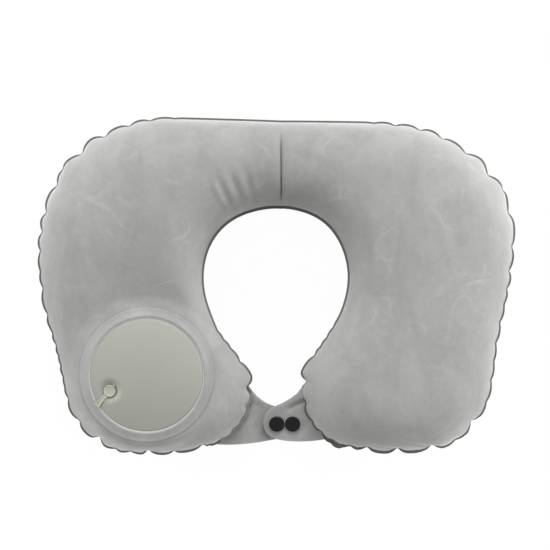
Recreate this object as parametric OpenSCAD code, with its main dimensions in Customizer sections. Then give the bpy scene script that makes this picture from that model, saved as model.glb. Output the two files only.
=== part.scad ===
// U-shaped inflatable neck pillow, lying on its back panel.
// X runs across both arms, Y from the lobes to the nape, Z through the thickness.
// The origin is on the resting plane, under the middle of the outline. Millimetres.

/* [Pillow outline] */
// Overall width across both arms
pillow_w = 405; // [380:1:440]
// Overall height from the lobes to the shoulders
pillow_h = 287; // [275:1:310]
// Radius of the neck opening
neck_r = 61; // [54:0.5:66]
// Height of the neck opening's centre above the middle
neck_y = 4; // [0:0.5:10]
// Width of the gap between the two lobes
gap_w = 42.6; // [40:0.2:52]
// Height of the gap's upper corner above the pillow's bottom
gap_from_bottom = 67.5; // [62:0.5:71]
// Radius where the gap turns into the neck opening
gap_r = 8; // [6.5:0.5:12]
// Radius of the shoulders
shoulder_r = 110; // [90:1:118]
// How much lower the right shoulder sits than the left one
shoulder_drop = 4; // [0:0.5:8]
// Radius of the hips, the lower outer corners
hip_r = 62; // [52:1:68]
// How far the hips draw in from the overall width
hip_inset = 23; // [16:1:28]
// Radius of the lobe tips
tip_r = 50; // [44:1:54]
// How much higher the lobe tips' underside sits than the hips'
tip_rise = 4.5; // [2:0.5:8]
// Dip of the top edge at the nape
nape_dip = 4; // [0:0.5:8]

/* [Panels] */
// Thickness of the flocked sheet with its weld
wall = 1.2; // [1:0.1:1.6]
// Width of the weld flange round the rim
flange_w = 3; // [2.5:0.1:4]
// Height of the front crown above the seam
front_depth = 47; // [42:0.5:54]
// Depth of the back crown below the seam
back_depth = 44; // [40:0.5:50]
// Fullness of the crown, 2 for an ellipse
crown_power = 2.6; // [2.2:0.05:3]
// Puckers along each arm
puckers = 18; // [14:1:20]
// How far each pucker draws the rim in
pucker_depth = 2; // [0.5:0.1:2.6]
// Share of the outer rim, from the lobe tip, that puckers
pucker_share = 0.84; // [0.6:0.01:0.9]
// Depth cut flat where the back crown rests
rest_cut = 0.5; // [0.3:0.1:0.7]
// Distance of the nape crease from the middle
crease_x = 4; // [-6:0.5:6]
// Depth of the nape crease
crease_depth = 3; // [1:0.1:5]
// Half width of the nape crease
crease_w = 6; // [4:0.5:9]

/* [Centre tie] */
// Thickness of the tie sheet
tie_t = 0.6; // [0.4:0.1:1]
// Weld gap between the tie sheet and the panels
tie_gap = 0.3; // [0.2:0.05:0.6]

/* [Pump] */
// Distance of the pump axis from the pillow's left side
pump_from_side = 93; // [90:0.5:97]
// Distance of the pump axis from the pillow's bottom
pump_from_bottom = 68.5; // [67:0.5:72]
// Height of the pump seat above the seam
seat_z = 34; // [32:0.5:37]
// Outer radius of the raised pump seat
seat_r = 59.5; // [57:0.5:60]
// Height of the seat's step above the panel round it
seat_step = 2.4; // [1:0.1:3]
// Width of the flat that the pump holds round its seat
seat_flat = 6; // [2:0.5:12]
// Length over which the panel rises from that flat to its full crown
seat_blend = 60; // [50:1:75]
// Height of the skirt that joins the seat to the panel
seat_skirt = 13; // [12:0.5:16]
// Width of the seat, from its outer edge in to the collar's bore
seat_land = 12; // [11.6:0.1:14]
// Width of the collar's bead
bead_w = 2.6; // [2:0.1:3]
// Height of the bead above the seat
bead_h = 1.6; // [1.2:0.1:1.8]
// Rounding of the bead
bead_round = 0.8; // [0.4:0.1:0.9]
// Depth of the collar's bore below the seat
collar_depth = 16; // [14:0.5:20]
// Thickness of the collar's welded flange
collar_flange_t = 1.2; // [0.8:0.1:2]
// Radial clearance between moulded pieces
fit_gap = 0.3; // [0.2:0.05:0.4]
// Height that the dome rises above its edge
dome_rise = 6; // [4:0.5:7]
// Height of the dome's edge above the seat
dome_edge = 0.5; // [0:0.1:1]
// Length of the dome's skirt inside the collar
dome_skirt = 12; // [10:0.5:14]
// Thickness of the dome film
film = 1.2; // [0.8:0.1:1.4]
// Depth of the pump chamber below the seat
chamber_depth = 32; // [30:0.5:36]
// Clearance from the bead's outer side to the chamber's outer side
chamber_gap = 2.9; // [1.6:0.1:3.6]
// Thickness of the chamber film
cup_t = 1; // [0.8:0.1:1.4]

/* [Inlet valve] */
// Distance of the plug's axis from the collar's bore
plug_from_bore = 13.5; // [13:0.1:14.5]
// Direction of the plug from the pump axis, in degrees
plug_angle = 203.5; // [195:0.5:210]
// Direction of the strap from the plug, in degrees
strap_angle = 228; // [222:0.5:234]
// Radius of the dished pocket
pocket_r = 9; // [8.5:0.1:9.2]
// Depth of the pocket's floor below the dome's edge
pocket_drop = 1; // [0.6:0.1:1.4]
// Radius of the nozzle's flange
nozzle_flange_r = 7; // [6:0.1:7.5]
// Thickness of the nozzle's flange
nozzle_flange_t = 1; // [0.8:0.1:1.2]
// Outer radius of the nozzle's tube
nozzle_r = 4.4; // [4.2:0.1:5]
// Length of the nozzle's tube below the pocket
nozzle_l = 6; // [5.5:0.1:8]
// Radius of the plug's head
head_r = 5.1; // [4.8:0.1:5.6]
// Thickness of the plug's head
head_t = 2.6; // [2.5:0.1:3.2]
// Depth of the hollow in the plug's head
head_hollow = 0.5; // [0.2:0.1:0.8]
// Width of the plug head's raised rim
head_rim = 1.2; // [0.8:0.1:1.6]
// Radius of the plug's stem at its head
stem_r = 2.9; // [2.4:0.1:3]
// Radius of the plug's stem at its tip
stem_tip_r = 1.8; // [1.5:0.1:1.8]
// Length of the plug's stem
stem_l = 4.5; // [3.5:0.1:4.6]
// Radius of the pull nub
nub_r = 1.3; // [1:0.1:1.5]
// Length of the strap, from the plug's axis to its hinge
strap_l = 13; // [12.6:0.1:13.2]
// Width of the strap
strap_w = 3.4; // [2.6:0.1:4.2]
// Thickness of the strap
strap_t = 1.2; // [1:0.1:1.4]
// Width of the strap's foot
foot_w = 5.6; // [4.6:0.1:6.4]
// Length of the strap's foot
foot_l = 3.2; // [2.4:0.1:3.4]
// How far the foot's top lies below the strap's middle
foot_relief = 0.2; // [0.1:0.05:0.4]

/* [Check valve] */
// Radius of the valve's passage
passage_r = 6; // [5:0.1:7]
// Wall of the valve's neck
neck_wall = 1; // [0.8:0.1:1.2]
// Radius of the valve's flange
valve_flange_r = 9; // [8.6:0.1:10]
// Thickness of the valve's flange
valve_flange_t = 1; // [0.8:0.1:1.4]
// Width of the spokes across the passage
spoke_w = 1.2; // [0.8:0.1:1.6]
// Radius of the flap
flap_r = 7.6; // [7.4:0.1:8.4]
// Thickness of the flap
flap_t = 0.6; // [0.4:0.1:0.8]
// Length from the pump axis to the flap's hinge
flap_hinge = 9; // [8.8:0.1:9.6]
// Width of the flap's hinge strip
flap_strip_w = 6; // [4:0.2:8]
// Length of the pad that holds the hinge strip
flap_pad_l = 3; // [2:0.1:5]

/* [Tabs] */
// Thickness of the tab sheet
tab_t = 1.8; // [1.4:0.1:2.2]
// Radius of the tabs' round ends
tab_r = 15; // [13.5:0.1:16]
// Height of the tabs' middle line above the pillow's bottom
tab_from_bottom = 26.2; // [25:0.1:28]
// How far the right tab reaches past the middle
right_reach = 11.3; // [9:0.1:12]
// How far the left tab reaches past the middle
left_reach = 20.2; // [19:0.1:20.4]
// Radius of the flare where a tab widens to its root
flare_r = 26; // [22:0.5:30]
// Height of the flare's centre above the tabs' middle line
flare_up = 45.8; // [44:0.2:50]
// Width of the lap where a tab's root lies on the flange
lap_w = 2.4; // [1.5:0.1:2.4]
// Distance from the gap's edge to a tab's hinge line, at the tabs' middle line
hinge_in = 1.3; // [0.8:0.1:1.6]
// Lean of a tab's hinge line from upright, in degrees
hinge_lean = 9; // [7:0.5:10]

/* [Snaps] */
// Distance from the middle to the left snap
snap_x = 0.4; // [-0.2:0.1:0.6]
// Distance between the two snaps
snap_pitch = 13.4; // [13:0.1:13.6]
// Radius of the snap caps
cap_r = 6.5; // [5.5:0.1:6.5]
// Height of the snap caps
cap_h = 2.2; // [2:0.1:3]
// Rounding of the snap caps' edge
cap_round = 1; // [0.6:0.1:1]
// Radius of the post through the sheet
post_r = 1; // [0.8:0.1:1.4]
// Outer radius of the sockets
socket_r = 5; // [4.4:0.1:5.6]
// Radius of the stud's peg
peg_r = 2; // [1.6:0.1:2.4]
// Radial clearance of the peg in its socket
peg_gap = 0.7; // [0.6:0.05:0.8]
// Height of the stud's base
stud_base = 0.7; // [0.5:0.1:0.8]
// Standing gap between mated faces
rest_gap = 0.1; // [0.05:0.05:0.2]

/* [Hidden] */
$fn = 96;

// Heights of the seam and of the pump seat above the resting plane
seam_z = back_depth - rest_cut;
seat_top = seam_z + seat_z;
// Pump axis
pump_x = pump_from_side - pillow_w / 2;
pump_y = pump_from_bottom - pillow_h / 2;
// Upper corner of the gap, below the middle
gap_drop = pillow_h / 2 - gap_from_bottom;
// Collar bore and pump chamber, set in from the seat
bore_r = seat_r - seat_land;
chamber_r = bore_r + bead_w + chamber_gap;
// Dome, as a cap of one sphere
dome_r = bore_r - fit_gap;
dome_ball = (dome_r * dome_r + dome_rise * dome_rise) / (2 * dome_rise);
dome_ball_z = dome_edge + dome_rise - dome_ball;
// Collar flange and the hole in the panel round the bead
collar_flange_r = seat_r - wall - fit_gap;
panel_hole_r = bore_r + bead_w + fit_gap;
// Pocket floor, plug and strap, measured from the seat
plug_reach = bore_r - plug_from_bore;
plug_dx = plug_reach * cos(plug_angle);
plug_dy = plug_reach * sin(plug_angle);
pocket_floor = dome_edge - pocket_drop;
plug_seat = pocket_floor + nozzle_flange_t + fit_gap;
plug_bore = stem_r + fit_gap;
strap_z = plug_seat + head_t - strap_t / 2;
knuckle_r = strap_t / 2;
// Chamber floor and check valve, measured from the seat
floor_z = -chamber_depth;
valve_neck_r = passage_r + neck_wall;
valve_drop = cup_t + rest_gap;
flap_z = floor_z - valve_drop - fit_gap;
// Tabs and snaps, measured from the seam
tab_y = tab_from_bottom - pillow_h / 2;
hinge_x = gap_w / 2 + hinge_in;
right_tab_z = wall;
left_tab_z = -wall - tab_t;
socket_h = 2 * wall - stud_base - fit_gap;
peg_h = socket_h - rest_gap;
snap_xs = [snap_x, snap_x + snap_pitch];

// Rim curve: circles joined by their common tangents. A positive radius turns clockwise.
arc_step = 6;
pole_heading = 165;
tip_c = [gap_w / 2 + tip_r, tip_rise + tip_r - pillow_h / 2, tip_r];

function wrap(a) = a - 360 * floor(a / 360);
function plan(c) = [c[0], c[1]];
function spot(c, h) = plan(c) + c[2] * [cos(h + 90), sin(h + 90)];
function heading(a, b) =
  let (d = plan(b) - plan(a))
  atan2(d[1], d[0]) - asin((a[2] - b[2]) / norm(d));
function arc(c, h0, h1) =
  let (turn = c[2] > 0 ? -wrap(h0 - h1) : wrap(h1 - h0))
  let (n = max(1, ceil(abs(turn) / arc_step)))
  [for (i = [0:n]) spot(c, h0 + turn * i / n)];
function reversed(p) = [for (i = [len(p) - 1:-1:0]) p[i]];

// Circles of one arm's rim, drawn in by an inset all round
function rim_circles(drop, cx, inset) = [
  [cx, pillow_h / 2 - nape_dip - inset, 0],
  [pillow_w / 2 - shoulder_r, pillow_h / 2 - drop - shoulder_r, shoulder_r - inset],
  [pillow_w / 2 - hip_inset - hip_r, hip_r - pillow_h / 2, hip_r - inset],
  [tip_c[0], tip_c[1], tip_r - inset],
  [gap_w / 2 + gap_r, -gap_drop, gap_r - inset],
  [0, neck_y, -neck_r - inset]
];
// Outer rim from the lobe tip over hip and shoulder to the nape
function outer_path(c) = reversed(concat(
  [plan(c[0])],
  arc(c[1], heading(c[0], c[1]), heading(c[1], c[2])),
  arc(c[2], heading(c[1], c[2]), heading(c[2], c[3])),
  arc(c[3], heading(c[2], c[3]), pole_heading)
));
// Inner rim from the lobe tip through the gap and round the neck opening to the nape
function inner_path(c) = concat(
  arc(c[3], pole_heading, heading(c[3], c[4])),
  arc(c[4], heading(c[3], c[4]), heading(c[4], c[5])),
  arc(c[5], heading(c[4], c[5]), 90 + acos(-c[0][0] / c[5][2]))
);
// A path as two tables over its share of length, for x and for y, and its length
function rail(p, s) =
  let (d = [for (i = 0, t = 0; i < len(p); i = i + 1, t = t + (i < len(p) ? norm(p[i] - p[i - 1]) : 0)) t])
  let (l = d[len(d) - 1])
  [[for (i = [0:len(p) - 1]) [d[i] / l, s * p[i][0]]], [for (i = [0:len(p) - 1]) [d[i] / l, p[i][1]]], l];
function on_rail(r, u) = [lookup(u, r[0]), lookup(u, r[1])];

// Outer and inner rails of the left arm, then of the right one
function rail_set(inset) =
  let (l = rim_circles(0, -crease_x, inset), r = rim_circles(shoulder_drop, crease_x, inset))
  [rail(outer_path(l), -1), rail(inner_path(l), -1), rail(outer_path(r), 1), rail(inner_path(r), 1)];
rim = rail_set(0);
crown_rim = rail_set(flange_w);
air_rim = rail_set(flange_w + wall);

// Stations: three to each pucker, from lobe tip to nape and on to the other lobe tip
half_n = 3 * puckers;
tip_u = 0.025;
tip_steps = 4;
across_n = 7;
end_low = 0.25;
end_round = 0.1;
function station_u(i) =
  i == half_n - 1 ? 1 - crease_w / rim[0][2] : tip_u + (1 - tip_u) * i / half_n;
function fold(i) = i <= half_n ? i : 2 * half_n - i;
function pucker(k) = k % 3 == 0 && station_u(k) < pucker_share ? pucker_depth : 0;
function span_at(rs, i) =
  let (k = i <= half_n ? 0 : 2, u = station_u(fold(i)))
  [on_rail(rs[k], u), on_rail(rs[k + 1], u)];
function width_at(rs, i) =
  let (s = span_at(rs, i))
  norm(s[1] - s[0]);
widest = max([for (i = [0:2 * half_n]) width_at(rim, i)]);

// Level of the flat round the pump seat, above the seam
flat_z = seat_z - seat_step;
// Half section across the arm at one station, from the outer to the inner rim
function section(rs, i, depth, skin) =
  let (s = span_at(rs, i), k = fold(i), w = width_at(rim, i))
  let (d = (s[1] - s[0]) / norm(s[1] - s[0]))
  let (a = s[0] + d * pucker(k), b = s[1])
  let (e = min(1, (station_u(k) - tip_u) / end_round))
  let (blunt = end_low + (1 - end_low) * sqrt(1 - (1 - e) * (1 - e)))
  let (crown = depth * sin(90 * w / widest) * blunt)
  [for (j = [0:across_n])
    let (t = 180 * j / across_n)
    let (p = a + (b - a) * (1 - cos(t)) / 2)
    let (h = crown * pow(1 - pow(abs(cos(t)), crown_power), 1 / crown_power))
    let (dip = k == half_n ? crease_depth * sin(t) : 0)
    [p[0], p[1], j == 0 || j == across_n ? 0 : max(h - dip - skin, 0.4)]];
// Cavity section, carried a little below the seam so that it cuts clean through
function cavity(i, depth) =
  let (s = section(air_rim, i, depth, wall))
  concat([[s[0][0], s[0][1], -1]], s, [[s[across_n][0], s[across_n][1], -1]]);
// Faces of a row of equal rings, closed at both ends
function skin_faces(rings, n) = concat(
  [for (i = [0:rings - 2]) for (j = [0:n - 1]) [i * n + j, (i + 1) * n + j, i * n + (j + 1) % n]],
  [for (i = [0:rings - 2]) for (j = [0:n - 1])
    [(i + 1) * n + j, (i + 1) * n + (j + 1) % n, i * n + (j + 1) % n]],
  [for (j = [1:n - 2]) [0, j, j + 1]],
  [for (j = [1:n - 2]) [(rings - 1) * n, (rings - 1) * n + j + 1, (rings - 1) * n + j]]
);

module loft(rings) {
  n = len(rings[0]);
  polyhedron([for (r = rings) for (p = r) p], skin_faces(len(rings), n), convexity = 8);
}

// Puckered rim of one rail pair end, as a plate outline
function tip_u_at(i) = tip_u * i / tip_steps;
function rim_half(r) = concat(
  [for (i = [0:tip_steps - 1]) on_rail(r, tip_u_at(i))],
  [for (i = [0:half_n]) on_rail(r, station_u(i))]
);
function rim_outer(o, n) = concat(
  [for (i = [0:tip_steps - 1]) on_rail(o, tip_u_at(i))],
  [for (i = [0:half_n])
    let (a = on_rail(o, station_u(i)), b = on_rail(n, station_u(i)))
    a + (b - a) * pucker(i) / norm(b - a)]
);
module rim_plate() {
  polygon(concat(
    rim_outer(rim[0], rim[1]),
    reversed(rim_outer(rim[2], rim[3])),
    rim_half(rim[3]),
    reversed(rim_half(rim[1]))
  ));
}

// Outer form of a panel's crown, and the air space under it
module crown(depth) {
  loft([for (i = [0:2 * half_n]) section(crown_rim, i, depth, 0)]);
}

module air(depth) {
  loft([for (i = [0:3:2 * half_n]) cavity(i, depth)]);
}

// Round dish that holds the front crown down beside the pump, flat and then rising
module seat_dish(skin) {
  flat_r = seat_r + seat_flat;
  translate([pump_x, pump_y, flat_z - skin]) rotate_extrude() polygon([
    [0, 0],
    [flat_r, 0],
    [flat_r + seat_blend, front_depth - flat_z],
    [flat_r + seat_blend, front_depth],
    [0, front_depth]
  ]);
}

module ring(r0, r1, z0, z1) {
  translate([0, 0, z0])
    difference() {
      cylinder(r = r1, h = z1 - z0);
      translate([0, 0, -1]) cylinder(r = r0, h = z1 - z0 + 2);
    }
}

module at_pump() {
  translate([pump_x, pump_y, seat_top]) children();
}

module at_plug() {
  at_pump() translate([plug_dx, plug_dy, 0]) children();
}

module front_panel() color("#a0a2a2") {
  difference() {
    translate([0, 0, seam_z]) difference() {
      union() {
        difference() {
          crown(front_depth);
          seat_dish(0);
        }
        linear_extrude(wall) rim_plate();
      }
      difference() {
        air(front_depth);
        seat_dish(wall);
      }
    }
    at_pump() translate([0, 0, 2 * wall - seat_z]) cylinder(r = seat_r - wall / 2, h = front_depth);
  }
  at_pump() {
    ring(panel_hole_r, seat_r, -wall, 0);
    ring(seat_r - wall, seat_r, -seat_skirt, 0);
  }
}

module back_panel() color("#949696") {
  difference() {
    translate([0, 0, seam_z]) mirror([0, 0, 1]) difference() {
      union() {
        crown(back_depth);
        linear_extrude(wall) rim_plate();
      }
      air(back_depth);
    }
    translate([-pillow_w, -pillow_h, -back_depth]) cube([2 * pillow_w, 2 * pillow_h, back_depth]);
  }
}

// The tie sheet fills the hollow section behind the nape crease
module centre_tie() color("#c4c6c6") {
  front = section(air_rim, half_n, front_depth, wall + tie_gap);
  back = section(air_rim, half_n, back_depth, wall + tie_gap);
  outline = concat(
    [for (j = [1:across_n - 1]) [front[j][1], front[j][2]]],
    [for (j = [across_n - 1:-1:1]) [back[j][1], -back[j][2]]]
  );
  translate([crease_x - tie_t / 2, 0, seam_z])
    rotate([90, 0, 90]) linear_extrude(tie_t) polygon(outline);
}

module pump_collar() color("#c4c6ca") at_pump() rotate_extrude() {
  translate([bore_r, -collar_depth]) square([bead_w, collar_depth + bead_h - bead_round]);
  translate([bore_r + bead_round, 0]) square([bead_w - 2 * bead_round, bead_h]);
  translate([bore_r + bead_round, bead_h - bead_round]) circle(r = bead_round);
  translate([bore_r + bead_w - bead_round, bead_h - bead_round]) circle(r = bead_round);
  translate([bore_r, -wall - collar_flange_t]) square([collar_flange_r - bore_r, collar_flange_t]);
}

// Body of the dome, less a skin all round
module dome_body(skin) {
  intersection() {
    translate([0, 0, dome_ball_z]) sphere(r = dome_ball - skin, $fn = 192);
    translate([0, 0, -dome_skirt - skin]) cylinder(r = dome_r - skin, h = 2 * dome_skirt);
  }
}

module pump_dome() color("#a8aaa2") at_pump() difference() {
  dome_body(0);
  difference() {
    dome_body(film);
    translate([plug_dx, plug_dy, pocket_floor - film]) cylinder(r = pocket_r + film, h = dome_skirt);
  }
  translate([plug_dx, plug_dy, pocket_floor]) cylinder(r = pocket_r, h = dome_skirt);
  translate([plug_dx, plug_dy, pocket_floor - 2 * film]) cylinder(r = nozzle_r + fit_gap, h = dome_skirt);
}

module pump_foam() color("#d8d4b8") at_pump() difference() {
  intersection() {
    translate([0, 0, dome_ball_z]) sphere(r = dome_ball - film - fit_gap, $fn = 192);
    translate([0, 0, floor_z]) cylinder(r = dome_r - film - 2 * fit_gap, h = 2 * chamber_depth);
  }
  translate([plug_dx, plug_dy, pocket_floor - nozzle_l - film])
    cylinder(r = pocket_r + film + 2 * fit_gap, h = chamber_depth);
  translate([0, 0, floor_z - 1]) cylinder(r = valve_flange_r + fit_gap, h = valve_flange_t + 1 + fit_gap);
}

module pump_base() color("#b4b6b8") at_pump() {
  difference() {
    translate([0, 0, floor_z - cup_t])
      cylinder(r = chamber_r, h = chamber_depth - wall - collar_flange_t + cup_t);
    translate([0, 0, floor_z]) cylinder(r = chamber_r - cup_t, h = chamber_depth);
    translate([0, 0, floor_z - 2 * cup_t]) cylinder(r = valve_neck_r + fit_gap, h = 4 * cup_t);
  }
  ring(chamber_r - cup_t, collar_flange_r, -wall - collar_flange_t - cup_t, -wall - collar_flange_t);
  translate([flap_hinge + flap_t / 2 + fit_gap, -flap_strip_w / 2, flap_z - flap_t])
    cube([flap_pad_l, flap_strip_w, floor_z - flap_z + flap_t]);
}

module check_valve_seat() color("#e0e2e0") at_pump() {
  ring(passage_r, valve_flange_r, floor_z, floor_z + valve_flange_t);
  ring(passage_r, valve_neck_r, floor_z - valve_drop, floor_z + valve_flange_t);
  intersection() {
    translate([0, 0, floor_z - valve_drop]) cylinder(r = passage_r + neck_wall / 2, h = valve_drop);
    for (a = [0, 90])
      rotate(a) translate([-passage_r - 1, -spoke_w / 2, floor_z - valve_drop])
        cube([2 * passage_r + 2, spoke_w, valve_drop]);
  }
}

module check_flap() color("#c8cac6") at_pump() translate([0, 0, flap_z - flap_t]) {
  cylinder(r = flap_r, h = flap_t);
  translate([0, -flap_strip_w / 2, 0]) cube([flap_hinge, flap_strip_w, flap_t]);
  translate([flap_hinge, flap_strip_w / 2, flap_t / 2]) rotate([90, 0, 0])
    cylinder(r = flap_t / 2, h = flap_strip_w);
}

module inlet_nozzle() color("#c0c2b6") at_plug() difference() {
  union() {
    translate([0, 0, pocket_floor]) cylinder(r = nozzle_flange_r, h = nozzle_flange_t);
    translate([0, 0, pocket_floor - nozzle_l]) cylinder(r = nozzle_r, h = nozzle_l + nozzle_flange_t);
  }
  translate([0, 0, pocket_floor - nozzle_l - 1]) cylinder(r = plug_bore, h = nozzle_l + nozzle_flange_t + 2);
}

module valve_plug() color("#b2b4a6") at_plug() rotate(strap_angle) {
  difference() {
    union() {
      translate([0, 0, plug_seat]) cylinder(r = head_r, h = head_t);
      translate([-head_r - nub_r / 2, 0, plug_seat]) cylinder(r = nub_r, h = head_t - head_hollow);
    }
    translate([0, 0, plug_seat + head_t - head_hollow]) cylinder(r = head_r - head_rim, h = head_t);
  }
  translate([0, 0, plug_seat - stem_l]) cylinder(r1 = stem_tip_r, r2 = stem_r, h = stem_l);
  translate([head_r - head_rim / 2, -strap_w / 2, strap_z - strap_t / 2])
    cube([strap_l - head_r + head_rim / 2, strap_w, strap_t]);
  translate([strap_l, strap_w / 2, strap_z]) rotate([90, 0, 0]) cylinder(r = knuckle_r, h = strap_w);
}

module plug_anchor() color("#b2b4a6") at_plug() rotate(strap_angle)
  translate([strap_l + knuckle_r + fit_gap, -foot_w / 2, bead_h])
    cube([foot_l, foot_w, strap_z - foot_relief - bead_h]);

// Plan of a tab that grows from the right lobe and ends at -reach
module tab_plan(reach) {
  end_c = [tab_r - reach, tab_y, tab_r];
  flare_c = [-1, tab_y + flare_up, -flare_r];
  low = [gap_w / 2 + tip_r, tab_y - tab_r, 0];
  high = [gap_w / 2 + gap_r, -gap_drop - gap_r / 2, 0];
  polygon(concat(
    [plan(low)],
    arc(end_c, heading(low, end_c), heading(end_c, flare_c)),
    arc(flare_c, heading(end_c, flare_c), heading(flare_c, high)),
    [plan(high)]
  ));
}

// Places children on a tab's hinge line, which then runs along Y
module at_hinge() {
  translate([hinge_x, tab_y]) rotate(hinge_lean) children();
}

// Free length of a tab, rounded along its hinge, with holes for its snap posts
module tab_free(reach, xs) {
  difference() {
    union() {
      linear_extrude(tab_t) intersection() {
        tab_plan(reach);
        at_hinge() translate([-pillow_w, -pillow_h]) square([pillow_w, 2 * pillow_h]);
      }
      intersection() {
        at_hinge() translate([0, pillow_h / 2, tab_t / 2]) rotate([90, 0, 0])
          cylinder(r = tab_t / 2, h = pillow_h);
        linear_extrude(tab_t) tab_plan(reach);
      }
    }
    for (x = xs) translate([x, tab_y, -1]) cylinder(r = post_r + fit_gap, h = tab_t + 2);
  }
}

// Root of a tab, lapped onto the flange of the lobe tip
module tab_root(reach) {
  linear_extrude(tab_t) difference() {
    tab_plan(reach);
    at_hinge() translate([tab_t / 2 + fit_gap - pillow_w, -pillow_h]) square([pillow_w, 2 * pillow_h]);
    translate(plan(tip_c)) circle(r = tip_r - lap_w);
    translate([gap_w / 2 + lap_w, tip_c[1]]) square([tip_r, pillow_h]);
    translate([tip_c[0] - 1, -pillow_h]) square([tip_r, pillow_h]);
  }
}

module right_tab() color("#9a9b9b")
  translate([0, 0, seam_z + right_tab_z]) tab_free(right_reach, snap_xs);

module right_tab_root() color("#9a9b9b")
  translate([0, 0, seam_z + right_tab_z]) tab_root(right_reach);

module left_tab() color("#9a9b9b")
  translate([0, 0, seam_z + left_tab_z]) mirror([1, 0, 0]) tab_free(left_reach, -snap_xs);

module left_tab_root() color("#9a9b9b")
  translate([0, 0, seam_z + left_tab_z]) mirror([1, 0, 0]) tab_root(left_reach);

// A snap cap with its post, face up, on the plane z = 0
module snap_button() {
  rotate_extrude() {
    square([cap_r, cap_h - cap_round]);
    square([cap_r - cap_round, cap_h]);
    translate([cap_r - cap_round, cap_h - cap_round]) circle(r = cap_round);
  }
  translate([0, 0, rest_gap - tab_t]) cylinder(r = post_r, h = tab_t);
}

module snap_cap(i) color("#1e1f22")
  translate([snap_xs[i], tab_y, seam_z + right_tab_z + tab_t]) snap_button();

module snap_back(i) color("#1e1f22")
  translate([snap_xs[i], tab_y, seam_z + left_tab_z]) mirror([0, 0, 1]) snap_button();

module snap_socket(i) color("#2a2b2e") translate([snap_xs[i], tab_y, seam_z + right_tab_z])
  ring(peg_r + peg_gap, socket_r, -socket_h, 0);

module snap_stud(i) color("#2a2b2e") translate([snap_xs[i], tab_y, seam_z - wall]) {
  cylinder(r = socket_r, h = stud_base);
  cylinder(r = peg_r, h = stud_base + peg_h);
}

front_panel();
back_panel();
centre_tie();
pump_collar();
pump_dome();
pump_foam();
pump_base();
check_valve_seat();
check_flap();
inlet_nozzle();
valve_plug();
plug_anchor();
right_tab_root();
right_tab();
left_tab_root();
left_tab();
snap_cap(0);  // snap_cap_left
snap_cap(1);  // snap_cap_right
snap_socket(0);  // snap_socket_left
snap_socket(1);  // snap_socket_right
snap_stud(0);  // snap_stud_left
snap_stud(1);  // snap_stud_right
snap_back(0);  // snap_back_left
snap_back(1);  // snap_back_right
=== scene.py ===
# %% [markdown]
# # An inflatable neck pillow
# Two flocked vinyl sheets are welded round a U-shaped rim and blown up by a press pump in one lobe. This
# lesson dresses the measured solids: every shape is a formula in millimetres, turned into metres only
# when it becomes a mesh, so that a reader can check each number against a ruler.

# %% Load the measured frame
import math

import bmesh
import bpy
import numpy as np
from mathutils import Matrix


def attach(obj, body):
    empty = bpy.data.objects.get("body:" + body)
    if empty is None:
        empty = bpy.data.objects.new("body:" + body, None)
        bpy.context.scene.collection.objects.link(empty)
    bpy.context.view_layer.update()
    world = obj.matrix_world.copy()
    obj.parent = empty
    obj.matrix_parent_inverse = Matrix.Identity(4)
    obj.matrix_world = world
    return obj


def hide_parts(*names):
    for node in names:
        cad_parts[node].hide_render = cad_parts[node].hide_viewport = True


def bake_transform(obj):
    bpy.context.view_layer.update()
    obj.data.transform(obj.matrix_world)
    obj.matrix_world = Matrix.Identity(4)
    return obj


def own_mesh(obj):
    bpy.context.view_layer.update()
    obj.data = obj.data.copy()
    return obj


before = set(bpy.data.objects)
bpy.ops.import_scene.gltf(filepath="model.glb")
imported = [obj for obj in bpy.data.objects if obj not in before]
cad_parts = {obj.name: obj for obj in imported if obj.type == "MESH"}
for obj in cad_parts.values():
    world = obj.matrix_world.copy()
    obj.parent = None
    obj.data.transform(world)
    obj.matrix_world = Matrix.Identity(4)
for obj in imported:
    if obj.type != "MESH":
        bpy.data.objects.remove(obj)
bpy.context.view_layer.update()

print("solids loaded:", len(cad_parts))

# %% [markdown]
# ## Small tools
# A piece here is an array of points with a list of faces. These helpers work out the faces of a grid,
# turn arrays into an object, turn its faces outwards and give a sheet its thickness. Blender's operators
# could do the same by hand, but arrays need no selection and give the same result at each run.

# %% Grids and pieces
MM = 0.001


def span(a, b, t):
    """A grid of straight lines, one from each point of a to its partner in b: a + (b - a) * t."""
    return a[:, None] + (b - a)[:, None] * t[None, :, None]


def grid_quads(rows, cols, wrap=False, meet=False):
    """Quads of a rows by cols grid numbered row by row. With wrap the last column joins the first, with meet
    the last row joins the first."""
    i = np.arange(rows if meet else rows - 1)[:, None]
    j = np.arange(cols if wrap else cols - 1)[None, :]
    this, after, right = i * cols, (i + 1) % rows * cols, (j + 1) % cols
    return np.stack([this + j, this + right, after + right, after + j], -1).reshape(-1, 4)


def fan(pole, ring, back=False):
    """Triangles from a pole to each step of a closed ring of points, wound the other way if back."""
    steps = [ring, np.roll(ring, -1)]
    return np.stack([np.full(len(ring), pole), *(steps[::-1] if back else steps)], 1).tolist()


def make_piece(name, points, faces, material, body="pillow"):
    """One smooth-shaded object from points in millimetres and a list of faces, riding on a body."""
    mesh = bpy.data.meshes.new(name)
    places = np.asarray(points, float).reshape(-1, 3) * MM
    mesh.from_pydata(places.tolist(), [], [list(map(int, f)) for f in faces])
    mesh.polygons.foreach_set("use_smooth", np.ones(len(mesh.polygons), dtype=bool))
    mesh.materials.append(material)
    piece = bpy.data.objects.new(name, mesh)
    bpy.context.scene.collection.objects.link(piece)
    if body:
        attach(piece, body)
    return piece


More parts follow.
